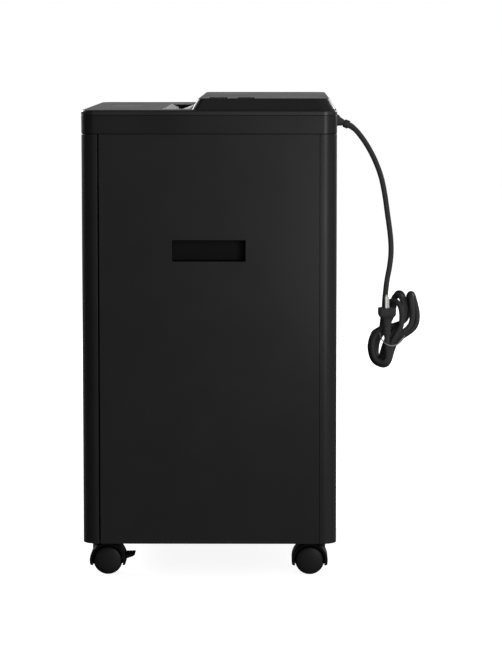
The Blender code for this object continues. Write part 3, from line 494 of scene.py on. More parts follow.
LOOKS = {
    "panel": moulded("panel_plastic", grey(0.0125), 0.40, 900, 0.00003, 0.30, 0.03),
    "shell": moulded("shell_plastic", grey(0.0120), 0.38, 1300, 0.00003, 0.30, 0.03),
    "cover": moulded("cover_plastic", grey(0.0085), 0.34, 1300, 0.00003, 0.34),
    "deck": moulded("deck_plastic", grey(0.0120), 0.30, 1500, 0.00003, 0.50),
    "cup": moulded("cup_plastic", grey(0.0026), 0.55, 900, 0.00005, 0.15),
    "button": moulded("button_plastic", grey(0.0140), 0.38, 1800, 0.00002, 0.45),
    "gloss": moulded("gloss_panel", grey(0.0060), 0.26, 400, 0.000004, 0.45, 0.04),
    "inner": moulded("inner_plastic", grey(0.0200), 0.50, 900, 0.00005, 0.35),
    "silver": moulded("silver_plastic", grey(0.80), 0.34, 1200, 0.00003, 0.6, 0.05, 0.04),
    "clear": clear_plastic(),
    "board": circuit_board(),
    "zinc": metal("zinc_plate", (0.52, 0.53, 0.55), 0.38, (1, 1, 1), 260),
    "cutter": metal("cutter_steel", (0.46, 0.45, 0.44), 0.30, (8, 1, 1), 300),
    "shaft": metal("shaft_steel", (0.58, 0.58, 0.58), 0.22, (12, 1, 1), 300),
    "brass": metal("blade_metal", (0.50, 0.49, 0.47), 0.25, (1, 1, 6), 300),
    "nylon": moulded("nylon", (0.62, 0.60, 0.53), 0.45, 700, 0.00004, 0.45, 0.08, 0.04),
    "hood": moulded("hood_plastic", grey(0.0035), 0.58, 1100, 0.00004, 0.16),
    "wheel": moulded("wheel_plastic", grey(0.0080), 0.45, 1100, 0.00004, 0.30),
    "rubber": moulded("cord_rubber", grey(0.0550), 0.62, 1500, 0.00004, 0.18, 0.06, 0.12),
    "tie": moulded("tie_wire", grey(0.42), 0.40, 1500, 0.00002, 0.5, 0.05, 0.05),
    "motor": metal("motor_can", (0.40, 0.40, 0.41), 0.42, (1, 1, 1), 180),
}


def piece(obj, look, body, slot, *nodes):
    """A finished piece: its material, the body it rides on, its record slot, which is not used, and the nodes
    it stands for.
    """
    obj.data.materials.clear()
    obj.data.materials.append(LOOKS[look])
    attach(obj, body)
    if nodes:
        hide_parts(*nodes)
    return obj


def refine(node, name, look, body, slot, width, segments=2):
    """A piece that is its CAD node with the edges rounded off."""
    return piece(soften(copied(node, name), width, segments), look, body, slot, node)


# -------- camera, floor and light


CAMERA_PLACE = (3.3283, 0.0924, 0.7183)
# Below the horizontal, and away from -X
CAMERA_PITCH = math.radians(4.481)
CAMERA_YAW = math.radians(0.308)
CAMERA_LENS = 129.1
CAMERA_SHIFT = (-0.0233, -0.165)


def aim(obj, place, forward):
    obj.location = place
    obj.rotation_mode = "QUATERNION"
    obj.rotation_quaternion = forward.to_track_quat("-Z", "Y")


def make_camera():
    data = bpy.data.cameras.new("camera")
    data.sensor_width = 36.0
    data.lens = CAMERA_LENS
    data.shift_x, data.shift_y = CAMERA_SHIFT
    data.clip_end = 50.0
    camera = add("camera", data)
    level = math.cos(CAMERA_PITCH)
    forward = Vector((-level * math.cos(CAMERA_YAW), -level * math.sin(CAMERA_YAW), -math.sin(CAMERA_PITCH)))
    aim(camera, CAMERA_PLACE, forward)
    bpy.context.scene.camera = camera


def make_floor():
    shape = bmesh.new()
    bmesh.ops.create_grid(shape, x_segments=2, y_segments=2, size=8.0)
    floor = from_bmesh("floor", shape)
    made = new_material("floor_paper")
    inputs = {
        "Base Color": made.blend(made.between(made.noise(3, 2), 0, 1), grey(0.50), grey(0.53)),
        "Roughness": 0.9,
        "Specular IOR Level": 0.1,
        "Emission Color": (1, 1, 1, 1),
        "Emission Strength": 0.90,
    }
    floor.data.materials.append(made.shade(inputs))
    floor.visible_diffuse = False
    floor.visible_glossy = False


# Directions that the room glows from, and how strongly
ROOM_GLOW = (
    ((1, 0, 0), 0.12),
    ((-1, 0, 0), 0.31),
    ((0, 1, 0), 0.11),
    ((0, -1, 0), 0.10),
    ((0, 0, 1), 0.056),
    ((0.62, 0.75, 0.22), 0.60),
)


def make_world():
    """A white backdrop, in a dim room that glows softly from a few sides."""
    world = bpy.data.worlds.new("room")
    world.use_nodes = True
    bpy.context.scene.world = world
    world.node_tree.nodes.clear()
    made = Nodes(world, "Generated")

    def worked_out(operation, first, second):
        return made.add("ShaderNodeMath", {0: first, 1: second}, operation=operation).outputs[0]

    total = 0.0
    for direction, strength in ROOM_GLOW:
        inputs = {0: made.place, 1: Vector(direction).normalized()}
        facing = made.add("ShaderNodeVectorMath", inputs, operation="DOT_PRODUCT").outputs["Value"]
        lobe = worked_out("POWER", worked_out("MAXIMUM", facing, 0.0), 2.0)
        total = worked_out("ADD", worked_out("MULTIPLY", lobe, strength), total)
    seen = made.add("ShaderNodeLightPath").outputs["Is Camera Ray"]
    strength = made.add("ShaderNodeMix", {"Factor": seen, 2: total, 3: 1.0}).outputs[0]
    shine = made.add("ShaderNodeBackground", {"Color": (1, 1, 1, 1), "Strength": strength})
    made.add("ShaderNodeOutputWorld", {"Surface": shine.outputs[0]})


REAR_CORNER = (0.195, 0.14, 0.42)
CABINET_MIDDLE = (0, 0, 0.35)
# Name, place, the point it faces, its width and height, and its power in watts
LIGHTS = (
    ("rear_right", (1.5, 0.6, 0.6), REAR_CORNER, (0.4, 0.8), 3.8),
    ("near_corner", (0.55, 0.24, 0.42), REAR_CORNER, (0.2, 0.3), 0.17),
    ("front_left", (-2.2, -2.2, 1.6), CABINET_MIDDLE, (1.2, 1.2), 110),
    ("rear_left", (-2.4, 2.0, 1.4), CABINET_MIDDLE, (1.2, 1.2), 40),
)


def make_lights():
    for name, place, target, size, power in LIGHTS:
        data = bpy.data.lights.new(name, "AREA")
        data.shape = "RECTANGLE"
        data.size, data.size_y = size
        data.energy = power
        light = add(name, data)
        light.visible_camera = False
        aim(light, place, Vector(target) - Vector(place))


# -------- cord


# Y and Z of the hank's waist
HANK_WAIST = (0.2440, 0.3160)
# Rise of the hank along X, for a metre
HANK_LEAN = 0.11
# Points round a fold, and how many of them are left out at each end, where the cord passes the waist
FOLD_STEPS = 16
FOLD_SKIP = 2
# How blunt a fold's tip is, and how hard a fold is pinched at the waist
FOLD_BLUNT = 1.3
FOLD_PINCH = 0.5
# A turn in cord diameters from the waist: where it comes in, where it crosses back up, the tip of its low
# fold, that fold's half width and its bow to the left, the tip of its high fold, and that one's half width
# and bow to the right. A half width below 0 crosses the fold's sides. Each turn lies between two shapes.
INNER_LOW = ((-0.6, -0.3), (1.8, -1.3), (-1.6, -6.8), (1.1, 1.6), (1.4, 4.9), (0.8, 0.6))
INNER_HIGH = ((-0.5, -0.8), (1.3, -0.8), (-1.8, -6.2), (0.2, 0.9), (2.3, 6.1), (0.5, 1.6))
OUTER_WIDE = ((-0.9, -0.4), (2.7, -1.9), (-1.6, -7.3), (1.3, 1.6), (4.4, 5.9), (0.0, 3.4))
OUTER_NARROW = ((-0.7, -0.8), (2.2, -1.6), (-1.5, -6.9), (0.9, 1.4), (4.3, 5.5), (-0.6, 3.0))
# The turns in order: the two shapes, the share of the second, and the X of the lower left, lower right,
# upper right and upper left runs
TURNS = (
    (INNER_LOW, INNER_HIGH, 0.95, (-0.0195, -0.0015, -0.0010, -0.0200)),
    (OUTER_WIDE, OUTER_NARROW, 0.00, (-0.0130, 0.0035, 0.0050, -0.0195)),
    (INNER_LOW, INNER_HIGH, 0.55, (-0.0070, 0.0075, 0.0070, -0.0120)),
    (OUTER_WIDE, OUTER_NARROW, 1.00, (-0.0010, 0.0110, 0.0135, -0.0115)),
    (INNER_LOW, INNER_HIGH, -0.35, (0.0055, 0.0165, 0.0160, -0.0030)),
)
# The last half turn comes up to the plug: the X of its runs, and its last point on the fold
LAST_RUNS = (0.0120, 0.0215, 0.0260)
LAST_STEP = 11
# The cord's way from where it hangs into the hank
INTO_HANK = ((-0.002, 0.2396, 0.3530), (-0.008, 0.2388, 0.3360), (-0.015, 0.2370, 0.3210))
# Height of the strain relief's middle above the cord's exit
BOOT_RISE = 0.0010


def in_hank(x, u, v):
    """A point of the hank, from its X and its place in the side view in cord diameters from the waist."""
    return x, HANK_WAIST[0] + u * CORD_DIAMETER, HANK_WAIST[1] + v * CORD_DIAMETER + HANK_LEAN * x


def run_x(runs, place):
    """X between the runs before and after a place along the hank."""
    place = max(place, 0)
    first = min(int(place), len(runs) - 2)
    return runs[first] + (runs[first + 1] - runs[first]) * (place - first)


def fold_point(start, end, tip, bulge, share):
    """Y and Z at a share of the way round a fold that leaves the waist at start and comes back at end."""
    turned_by = share * math.tau
    out = [t - (s + e) / 2 for s, e, t in zip(start, end, tip)]
    reach = math.hypot(*out)
    along = 1 - abs(math.cos(turned_by / 2)) ** (2 * FOLD_BLUNT)
    half, bow = bulge
    across = half * math.sin(turned_by) * math.sin(turned_by / 2) ** FOLD_PINCH
    across += bow * (math.sin(turned_by) * math.cos(turned_by / 2)) ** 2
    across /= reach
    base = [s + (e - s) * share for s, e in zip(start, end)]
    return base[0] + along * out[0] + across * out[1], base[1] + along * out[1] - across * out[0]


def fold_points(fold, runs, first_run, last_step):
    """A fold's points. X keeps to each run along its middle and changes round the tip and at the waist."""
    points = []
    for step in range(FOLD_SKIP, last_step + 1):
        share = step / FOLD_STEPS
        place = first_run + 2 * share - 0.5 + math.sin(2 * math.tau * share) / math.tau
        points.append(in_hank(run_x(runs, place), *fold_point(*fold, share)))
    return points


def hank_route():
    """The hank's turns, and the half turn that leads to the plug."""
    shapes = [mixed(first, second, share) for first, second, share, _ in TURNS] + [INNER_LOW]
    runs = [x for *_, four in TURNS for x in four] + list(LAST_RUNS)
    points = []
    for turn, (shape, following) in enumerate(zip(shapes, shapes[1:])):
        enter, cross, low_tip, low_bulge, high_tip, high_bulge = shape
        low_fold = (enter, cross, low_tip, low_bulge)
        high_fold = (cross, following[0], high_tip, high_bulge)
        for half, fold in enumerate((low_fold, high_fold)):
            points += fold_points(fold, runs, 4 * turn + 2 * half, FOLD_STEPS - FOLD_SKIP)
    return points + fold_points(INNER_LOW[:4], runs, 4 * len(TURNS), LAST_STEP)


def cord_route():
    """The cord from inside the strain relief, down, through the hank and up into the plug."""
    neck = centre_of("plug")
    neck.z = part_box("plug")[0].z
    hanging = [(0.0, HALF_Y + 0.004, CORD_EXIT[2] + 0.0008)]
    hanging += [(0.0, y, z) for y, z in CORD_ROUTE[:-2]]
    out = [(neck.x - 0.0015, neck.y, neck.z - 0.0110)]
    out += [neck - Vector((0, 0, 0.006)), neck + Vector((0, 0, 0.004))]
    return hanging + list(INTO_HANK) + hank_route() + out


def make_cord():
    points = smooth_route(cord_route(), 0.0022)
    curve = bpy.data.curves.new("mains_cord", "CURVE")
    curve.dimensions = "3D"
    curve.bevel_depth = CORD_DIAMETER / 2
    curve.bevel_resolution = 6
    curve.use_fill_caps = True
    polyline(curve, points).use_smooth = True
    cord = add("mains_cord", curve)
    long = sum((b - a).length for a, b in zip(points, points[1:]))
    piece(cord, "rubber", "cabinet", "cord_rubber", "power_cord", "cord_hank")
    return cord, long


# Distance along the boot from inside the housing, and its radius there
BOOT_PROFILE = (
    (0.0000, 0.0050),
    (0.0038, 0.0050),
    (0.0040, 0.0092),
    (0.0062, 0.0093),
    (0.0092, 0.0082),
    (0.0118, 0.0062),
    (0.0150, 0.0051),
    (0.0164, 0.0050),
    (0.0168, 0.0041),
    (0.0180, 0.0041),
    (0.0184, 0.0054),
    (0.0194, 0.0057),
    (0.0250, 0.0059),
    (0.0256, 0.0053),
    (0.0262, 0.0043),
    (0.0340, 0.0040),
)


def boot_radius(gone):
    for (start, first), (end, second) in zip(BOOT_PROFILE, BOOT_PROFILE[1:]):
        if gone <= end:
            return first + (second - first) * (gone - start) / (end - start)
    return BOOT_PROFILE[-1][1]


def make_boot():
    """Strain relief: a flange against the housing, a neck, a collar and a taper down to the cord."""
    start = [(0.0, HALF_Y + out, CORD_EXIT[2] + BOOT_RISE) for out in (-0.004, 0.004)]
    route = smooth_route(start + [(0.0, y, z) for y, z in CORD_ROUTE[:4]], 0.0004)
    gone = 0.0
    kept = []
    radii = []
    for before, after in zip([route[0]] + route, route):
        gone += (after - before).length
        if gone > BOOT_PROFILE[-1][0]:
            break
        kept.append(after)
        radii.append(boot_radius(gone))
    boot = sweep("cord_boot", kept, radii, 32)
    return piece(boot, "rubber", "cabinet", "cord_rubber", "strain_relief")


# Up the plug from the cord, over its ribs and flange: height, half size in X and in Y, and corner radius
PLUG_PROFILE = (
    (0.0, 0.0044, 0.0044, 0.0042),
    (0.0035, 0.0050, 0.0050, 0.0046),
    (0.0040, 0.0056, 0.0057, 0.0050),
    (0.0065, 0.0056, 0.0057, 0.0050),
    (0.0070, 0.0050, 0.0050, 0.0046),
    (0.0090, 0.0050, 0.0050, 0.0046),
    (0.0095, 0.0056, 0.0058, 0.0050),
    (0.0120, 0.0056, 0.0058, 0.0050),
    (0.0125, 0.0052, 0.0052, 0.0046),
    (0.0145, 0.0052, 0.0052, 0.0046),
    (0.0150, 0.0060, 0.0061, 0.0052),
    (0.0224, 0.0066, 0.0069, 0.0056),
    (0.0250, 0.0074, 0.0078, 0.0058),
    (0.0266, 0.0086, 0.0092, 0.0060),
    (0.0284, 0.0102, 0.0111, 0.0060),
    (0.0304, 0.0110, 0.0121, 0.0058),
    (0.0325, 0.0112, 0.0124, 0.0055),
    (0.0378, 0.0112, 0.0124, 0.0050),
    (0.0392, 0.0109, 0.0121, 0.0046),
    (0.0398, 0.0101, 0.0113, 0.0040),
)
BLADE_SPACING = 0.0127
BLADE_LONG = 0.0172
BLADE_THICK = 0.0015
# Each blade is folded from two leaves: their side of the middle, and their inner and outer Y from it
LEAVES = ((-1, -0.0006, 0.0027), (1, 0.0012, 0.0026))


def make_plug():
    """Ribbed grip with a wide head, and two folded blades."""
    low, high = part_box("plug")
    centre = (low + high) / 2
    root = high.z - BLADE_LONG - 0.002
    tip = high.z - 0.0002

    def section(z, half_x, half_y, corner):
        lows = (centre.x - half_x, centre.y - half_y)
        highs = (centre.x + half_x, centre.y + half_y)
        return z, rounded(lows, highs, corner, 6)

    body = smooth(loft("plug_body", [section(low.z + z, *rest) for z, *rest in PLUG_PROFILE]), 40)
    piece(body, "rubber", "cabinet", "cord_rubber", "plug")
    blades = []
    for side in (-1, 1):
        x = centre.x + side * BLADE_SPACING / 2
        for leaf, inside, outside in LEAVES:
            y0 = centre.y + leaf * inside
            y1 = centre.y + leaf * outside
            outline = [(y0, root), (y1, root), (y1, tip - 0.0022), (y1 - leaf * 0.0014, tip), (y0, tip)]
            span = (x - BLADE_THICK / 2, x + BLADE_THICK / 2)
            blades.append(plate(f"blade_{side}_{leaf}", [outline], "YZ", span))
        core_low = (x - 0.0004, centre.y - 0.0010, root)
        core_high = (x + 0.0004, centre.y + 0.0004, high.z - 0.001)
        blades.append(box(f"core_{side}", core_low, core_high))
    pins = soften(together("plug_blades", blades), 0.00015, 2)
    piece(pins, "brass", "cabinet", "zinc_steel")
    return body, pins


# Wire tie: its middle and its half length in X, then in the side view, in cord diameters, its middle, half
# width and slope, and how far it sags in front of the strands and rises behind them
TIE_X = (0.0033, 0.0295)
TIE_MIDDLE = (0.8, -0.9)
TIE_HALF = 2.4
TIE_SLOPE = math.radians(-14.5)
TIE_FRONT = 2.9
TIE_BACK = 0.5
TIE_STEPS = 16
TIE_RADIUS = 0.0008
# Where its twisted ends start and stop, as angles round the loop, and how far they turn
TWIST_START = 0.85
TWIST_END = 0.30
TWIST_TURN = 9.0
TWIST_STEPS = 27
TWIST_RADIUS = 0.0006


def tie_point(angle):
    wide = TIE_HALF * math.cos(angle)
    sag = math.sin(angle) * (TIE_FRONT if math.sin(angle) > 0 else TIE_BACK)
    u = TIE_MIDDLE[0] + wide * math.cos(TIE_SLOPE) + sag * math.sin(TIE_SLOPE)
    v = TIE_MIDDLE[1] + wide * math.sin(TIE_SLOPE) - sag * math.cos(TIE_SLOPE)
    return Vector(in_hank(TIE_X[0] + TIE_X[1] * math.sin(angle), u, v))


def make_tie():
    """Wire tie round the waist of the hank, its ends twisted together."""
    points = [tie_point(step * math.tau / TIE_STEPS) for step in range(TIE_STEPS)]
    points.append(points[0])
    route = smooth_route(points, 0.0015)[:-1]
    loop = sweep("tie_loop", route, [TIE_RADIUS] * len(route), 10, closed=True)
    start = tie_point(TWIST_START)
    end = tie_point(TWIST_END)
    along = (end - start).normalized()
    across = along.cross(Vector((1, 0, 0))).normalized()
    up = along.cross(across)
    twist = []
    for turn in (0.0, math.pi):
        strand = []
        for i in range(TWIST_STEPS + 1):
            t = i / TWIST_STEPS
            angle = turn + t * TWIST_TURN
            strand.append(start.lerp(end, t) + (across * math.cos(angle) + up * math.sin(angle)) * 0.0007)
        twist.append(sweep(f"tie_twist_{turn}", strand, [TWIST_RADIUS] * len(strand), 8))
    tie = smooth(together("wire_tie", [loop, *twist]), 50)
    return piece(tie, "tie", "cabinet", "tie_plastic", "cord_tie")


def make_cord_set():
    cord, long = make_cord()
    boot = make_boot()
    body, pins = make_plug()
    tie = make_tie()


make_camera()
make_floor()
make_world()
make_lights()
make_cord_set()


# -------- cabinet


def u_wall(end_y, side):
    """Plan outline of a wall that wraps round the two corners on one side, +1 the rear and -1 the front."""
    points = []
    for inset, way in ((0, 1), (WALL, -1)):
        run = [(HALF_X - inset, end_y)]
        for hand, start in ((1, 0), (-1, 90)):
            centre = (hand * (HALF_X - CORNER), HALF_Y - CORNER)
            run += arc(centre, CORNER - inset, start, start + 90, CORNER_STEPS)
        run.append((inset - HALF_X, end_y))
        points += run[::way]
    return [(x, y * side) for x, y in points]


def make_side_panels():
    for name in ("right", "left"):
        node = f"side_panel_{name}"
        low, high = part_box(node)
        lip = 0.008
        raised = 0.0017
        window = [(y, z + raised) for y, z in framed(f"grip_cup_{name}", "YZ", lip, 0.0016, 4)]
        panel = plate(f"{node}_skin", [framed(node, "YZ", 0, 0.0006, 2), window], "YZ", (low.x, high.x))
        piece(soften(panel, 0.0003), "panel", "cabinet", "cabinet_plastic", node)
        cup = soften(copied(f"grip_cup_{name}", f"grip_{name}_moulding"), 0.0008)
        cup.data.transform(Matrix.Translation((0, 0, raised)))
        piece(cup, "cup", "cabinet", "inner_moulding", f"grip_cup_{name}")


def make_rear_shell():
    low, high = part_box("rear_shell")
    wall = plate("rear_wall", [u_wall(low.y, 1)], "XY", (low.z, high.z))
    piece(soften(wall, SEAM_ROUND / 2), "shell", "cabinet", "cabinet_plastic", "rear_shell")


def make_bin_front():
    low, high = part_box("bin_front")
    front = plate("bin_face", [u_wall(-high.y, -1)], "XY", (low.z, high.z))
    window = framed("bin_window", "XZ", 0.006, 0.006, 6)
    pull = framed("bin_pull", "XZ", 0.004, 0.006, 6)
    across = (low.y - 0.01, low.y + 0.01)
    cut(front, plate("window_cut", [window], "XZ", across), plate("pull_cut", [pull], "XZ", across))
    piece(soften(front, SEAM_ROUND), "shell", "bin", "cabinet_plastic", "bin_front")
    refine("bin_window", "window_pane", "clear", "bin", "clear_plastic", 0.0005)
    refine("bin_pull", "pull_cup", "cup", "bin", "inner_moulding", 0.0010, 3)
    refine("bin_tub", "tub", "inner", "bin", "inner_moulding", 0.0006)


def make_head_tray():
    """Visible band round the head, and the pan below it."""
    low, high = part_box("head_tray")
    bottom = BODY_TOP + HEAD_GAP
    top = high.z + 0.0003
    edge = 0.0004
    rounding = ((0, edge), (edge * 0.3, edge * 0.3), (edge, 0))
    sections = [(bottom + up, footprint(inset)) for up, inset in rounding]
    sections += [(top - down, footprint(inset - FLARE)) for down, inset in reversed(rounding)]
    tray = loft("head_band", sections)
    half_x, half_y = 0.182, 0.150
    pan = box("pan", (-half_x, -half_y, low.z), (half_x, half_y, bottom + 0.002))
    well_low = (WALL - half_x, WALL - half_y, low.z + WALL)
    well = box("well", well_low, (half_x - WALL, half_y - WALL, top + 0.01))
    inset = footprint(WALL)
    band = loft("band_hollow", [(bottom + WALL, inset), (top + 0.01, inset)])
    chute = box("chute", (-0.084, -0.080, low.z - 0.01), (0.154, -0.014, low.z + 0.01))
    hole = rod("cord_hole", 0.0056, (0, HALF_Y - 0.008, CORD_EXIT[2]), (0, HALF_Y + 0.008, CORD_EXIT[2]), 32)
    plunger = rod("plunger_hole", 0.0030, (0.0325, -0.156, 0.538), (0.0325, -0.140, 0.538), 24)
    motor_low, motor_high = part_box("motor_body")
    motor_y, motor_z = centre_of("motor_body").yz
    motor_radius = (motor_high.z - motor_low.z) / 2
    saddle_high = (-0.022, motor_y + 0.022, motor_z - 0.012)
    saddle = box("saddle", (-0.066, motor_y - 0.022, low.z + 0.001), saddle_high)
    cradle = rod("cradle", motor_radius + 0.0003, (-0.076, motor_y, motor_z), (-0.012, motor_y, motor_z), 64)
    join(tray, pan)
    cut(tray, well, band, chute, hole, plunger)
    join(tray, saddle)
    cut(tray, cradle)
    piece(smooth(tray, 40), "cover", "cabinet", "cabinet_plastic", "head_tray")


def hump_outline(inset, level):
    """Plan of the hump at its foot (level 0) or its top (level 1)."""
    front = (-0.0230, -0.0140)[level] + inset
    rear = (0.1665, 0.1580)[level] - inset
    half_x = (0.1925, 0.1835)[level] - inset
    back = CORNER - inset
    return rounded((-half_x, front), (half_x, rear), (0.009 - inset / 2, back, back, 0.009 - inset / 2), 12)


def make_head_cover():
    low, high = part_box("head_cover")
    top = high.z
    foot = low.z
    edge = 0.0003
    shoulder = 0.0030
    out = -FLARE
    sections = [(foot, footprint(out + edge)), (foot + edge, footprint(out))]
    for inset, z in arc((out + shoulder, DECK - shoulder), shoulder, 180, 90, 6):
        sections.append((z, footprint(inset)))
    cover = loft("deck_cover", sections)
    base = hump_outline(0, 0)
    crown = hump_outline(0, 1)
    rise = top - DECK
    rings = [(DECK - 0.0015, mixed(base, crown, -0.08))]
    fillet = 0.0012
    for i in range(4):
        t = i / 3
        spread = -0.10 * (1 - t) ** 2
        rings.append((DECK + fillet * t * t - 0.0001, mixed(base, crown, spread + t * t * fillet / rise)))
    round_over = 0.0009
    for back, z in arc((round_over, top - round_over), round_over, 180, 90, 5):
        along = min((z - DECK) / rise, 1.0)
        rings.append((z, hump_round(base, crown, along, back)))
    hump = loft("hump", rings)
    join(cover, hump)
    thin = 0.0025
    under = DECK - thin
    inside = footprint(thin)
    space = loft("cover_hollow", [(foot - 0.01, inside), (under, inside)])
    hump_inset = thin + 0.001
    hump_ends = [(under - 0.001, hump_outline(hump_inset, 0)), (top - thin, hump_outline(hump_inset, 1))]
    hump_space = loft("hump_hollow", hump_ends)
    gap = 0.0003
    throat_hole = framed("throat_trim", "XY", -gap, 0.0020, 4)
    throat = plate("throat_cut", [throat_hole], "XY", (DECK - 0.01, DECK + 0.004))
    panel_hole = framed("status_panel", "XY", -gap, 0.0025, 4)
    recess = plate("panel_recess", [panel_hole], "XY", (DECK - 0.0012, DECK + 0.01))
    cut(cover, space, hump_space, throat, recess)
    for name in ("button_power", "button_reverse"):
        hole = framed(name, "XY", -0.0005, 0.003, 6)
        cut(cover, plate(f"{name}_hole", [hole], "XY", (top - 0.01, top + 0.01)))
    piece(smooth(cover, 32), "deck", "cabinet", "deck_plastic", "head_cover")


def hump_round(base, crown, along, back):
    """The hump's outline part way up its slope, pulled in by a rounding."""
    plain = mixed(base, crown, along)
    count = len(plain)
    pulled = []
    for i, point in enumerate(plain):
        before = Vector(plain[i - 1])
        after = Vector(plain[(i + 1) % count])
        along_edge = (after - before).normalized()
        outward = Vector((along_edge.y, -along_edge.x))
        pulled.append(tuple(Vector(point) - outward * back))
    return pulled


def make_throat():
    """Silver funnel, near-black boxes over its end walls and slot walls as painted shade, and the bracket and
    pin of the paper lever below it.
    """
    low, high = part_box("throat_trim")
    deck = high.z + 0.0002
    frame_outline = framed("throat_trim", "XY", 0, 0.0018, 5)
    trim = plate("throat_frame", [frame_outline], "XY", (THROAT_FOOT, deck + 0.0005))
    rim = 0.0018
    over = 0.003
    y0, y1 = low.y + rim, high.y - rim
    drop_front = 0.0040
    drop_rear = 0.0065
    funnel = [
        (y0 - over * (SLOT[0] - y0) / drop_front, deck + over),
        (SLOT[0], deck - drop_front),
        (SLOT[0], THROAT_FOOT - over),
        (SLOT[1], THROAT_FOOT - over),
        (SLOT[1], deck - drop_rear),
        (y1 + over * (y1 - SLOT[1]) / drop_rear, deck + over),
    ]
    cut(trim, plate("funnel", [funnel], "YZ", (low.x + rim, high.x - rim)))
    soften(trim, 0.0004, 2)
    x0, x1 = low.x + rim, high.x - rim
    end_foot = THROAT_FOOT + 0.0007
    wall_foot = THROAT_FOOT + 0.0003
    # Painted shade: near-black boxes over the funnel's end walls and slot walls, which stand in shadow.
    painted_shade_lining = [box("end", (x - 0.0006, y0, end_foot), (x + 0.0006, y1, deck - 0.0003)) for x in (x0, x1)]
    painted_shade_lining += [box("wall", (x0, y - 0.0003, wall_foot), (x1, y + 0.0003, deck - 0.0066)) for y in SLOT]
    piece(together("throat_painted_shade_lining", painted_shade_lining), "cup", "cabinet", "inner_moulding")
    bracket = box("lever_bracket", (0.0405, -0.0435, 0.6040), (0.0480, -0.0335, 0.6115))
    pin = rod("lever_pin", 0.0011, (0.0310, -0.0385, 0.6075), (0.0440, -0.0385, 0.6075), 16)
    piece(soften(bracket, 0.0004, 2), "inner", "cabinet", "inner_moulding")
    piece(smooth(pin), "shaft", "cabinet", "zinc_steel")
    piece(trim, "silver", "cabinet", "throat_silver", "throat_trim")


def make_controls():
    """The two keys in the hump and the glossy panel in the deck."""
    for node, body in (("button_power", "power_key"), ("button_reverse", "reverse_key")):
        low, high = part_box(node)
        corner = 0.0030
        sunk = 0.00008
        foot = low.z - high.z
        sections = []
        for drop, inset in ((foot, 0.0), (-0.0010, 0.0), (-0.0004, 0.0002), (-0.0001, 0.0006), (0.0, 0.0012)):
            sections.append((high.z + drop - sunk, framed(node, "XY", inset, corner - inset / 2, 8)))
        key = smooth(loft(f"{node}_cap", sections), 40)
        piece(key, "button", body, "deck_plastic", node)
    low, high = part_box("status_panel")
    glass = plate("status_glass", [framed("status_panel", "XY", 0, 0.0022, 5)], "XY", (low.z, high.z))
    piece(soften(glass, 0.0003, 2), "gloss", "cabinet", "clear_plastic", "status_panel")


make_side_panels()
make_rear_shell()
make_bin_front()
make_head_tray()
make_head_cover()
make_throat()
make_controls()


# -------- casters


def make_hood(tag, trail):
    """Hood over a caster's two wheels, with its stem boss, its axle and, where there is a brake, a slot."""
    node = f"caster_hood_{tag}"
    low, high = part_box(node)
    x = (low.x + high.x) / 2
    half = (high.x - low.x) / 2
    centre = centre_of(f"wheel_outer_{tag}").yz
    stem_y = centre_of(f"caster_stem_{tag}").y
    blank = arc(centre, HOOD_RADIUS, -16, 196, 48)
    hood = plate(f"hood_{tag}", [blank], "YZ", (x - half, x + half))
    soften(hood, 0.0022, 4, 60)
    boss = rod("boss", 0.0135, (x, stem_y, 0.0300), (x, stem_y, 0.0465), 48, 0.0008)
    join(hood, boss)
    wells = []
    for side in (-1, 1):
        near = x + side * 0.0030
        far = x + side * (half + 0.002)
        wells.append(rod(f"well_{side}", WHEEL_RADIUS + 0.0012, (near, *centre), (far, *centre), 64))
    bore = rod("bore", 0.0043, (x, stem_y, 0.0399), (x, stem_y, 0.0500), 24)
    cut(hood, *wells, bore)
    if f"brake_lever_{tag}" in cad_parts:
        ys = sorted((centre[0] + trail * WHEEL_RADIUS, centre[0] + trail * 0.030))
        slot = box("slot", (x - 0.0126, ys[0], centre[1] - 0.0010), (x + 0.0126, ys[1], centre[1] + 0.0095))
        cut(hood, slot)
    axle = half - 0.0034
    join(hood, rod("axle", 0.0030, (x - axle, *centre), (x + axle, *centre), 24))
    piece(smooth(hood, 32), "hood", f"caster_{tag}", "caster_plastic", node)
    return x, centre


def make_wheel(node, centre, side):
    """Wheel with a plain tread and a domed outer face that covers the axle's end."""
    low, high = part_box(node)
    start = low.x if side > 0 else high.x
    wide = high.x - low.x
    radius = (high.z - low.z) / 2
    bore = 0.0033
    cap = 0.0028
    rim = radius - 0.0012
    dome = wide - 0.0036
    profile = [(bore, 0.0), (rim, 0.0), (radius - 0.0003, 0.0004), (radius, 0.0014)]
    profile += [(radius, wide - 0.0062), (radius - 0.0003, wide - 0.0048), (rim, dome)]
    steps = 12
    for i in range(1, steps + 1):
        angle = math.pi / 2 * i / steps
        profile.append((rim * math.cos(angle), dome + 0.0035 * math.sin(angle)))
    profile += [(0.0, wide - cap), (bore, wide - cap)]
    wheel = turned(f"{node}_tyre", profile, (start, *centre), (side, 0, 0), 64, closed=True)
    piece(smooth(wheel, 50), "wheel", node, "wheel_plastic", node)


def make_brake(tag, trail, x, centre):
    node = f"brake_lever_{tag}"
    # Side outline from the wheel's centre, backwards and up
    outline = [(0.0216, 0.0074), (0.0216, 0.0022), (0.0262, 0.0020), (0.0330, 0.0042)]
    outline += [(0.0360, 0.0062), (0.0360, 0.0072), (0.0348, 0.0077)]
    points = [(centre[0] + trail * u, centre[1] + v) for u, v in outline]
    lever = plate(f"toe_{tag}", [points], "YZ", (x - 0.0120, x + 0.0120))
    piece(soften(lever, 0.0007), "hood", f"brake_{tag}", "caster_plastic", node)


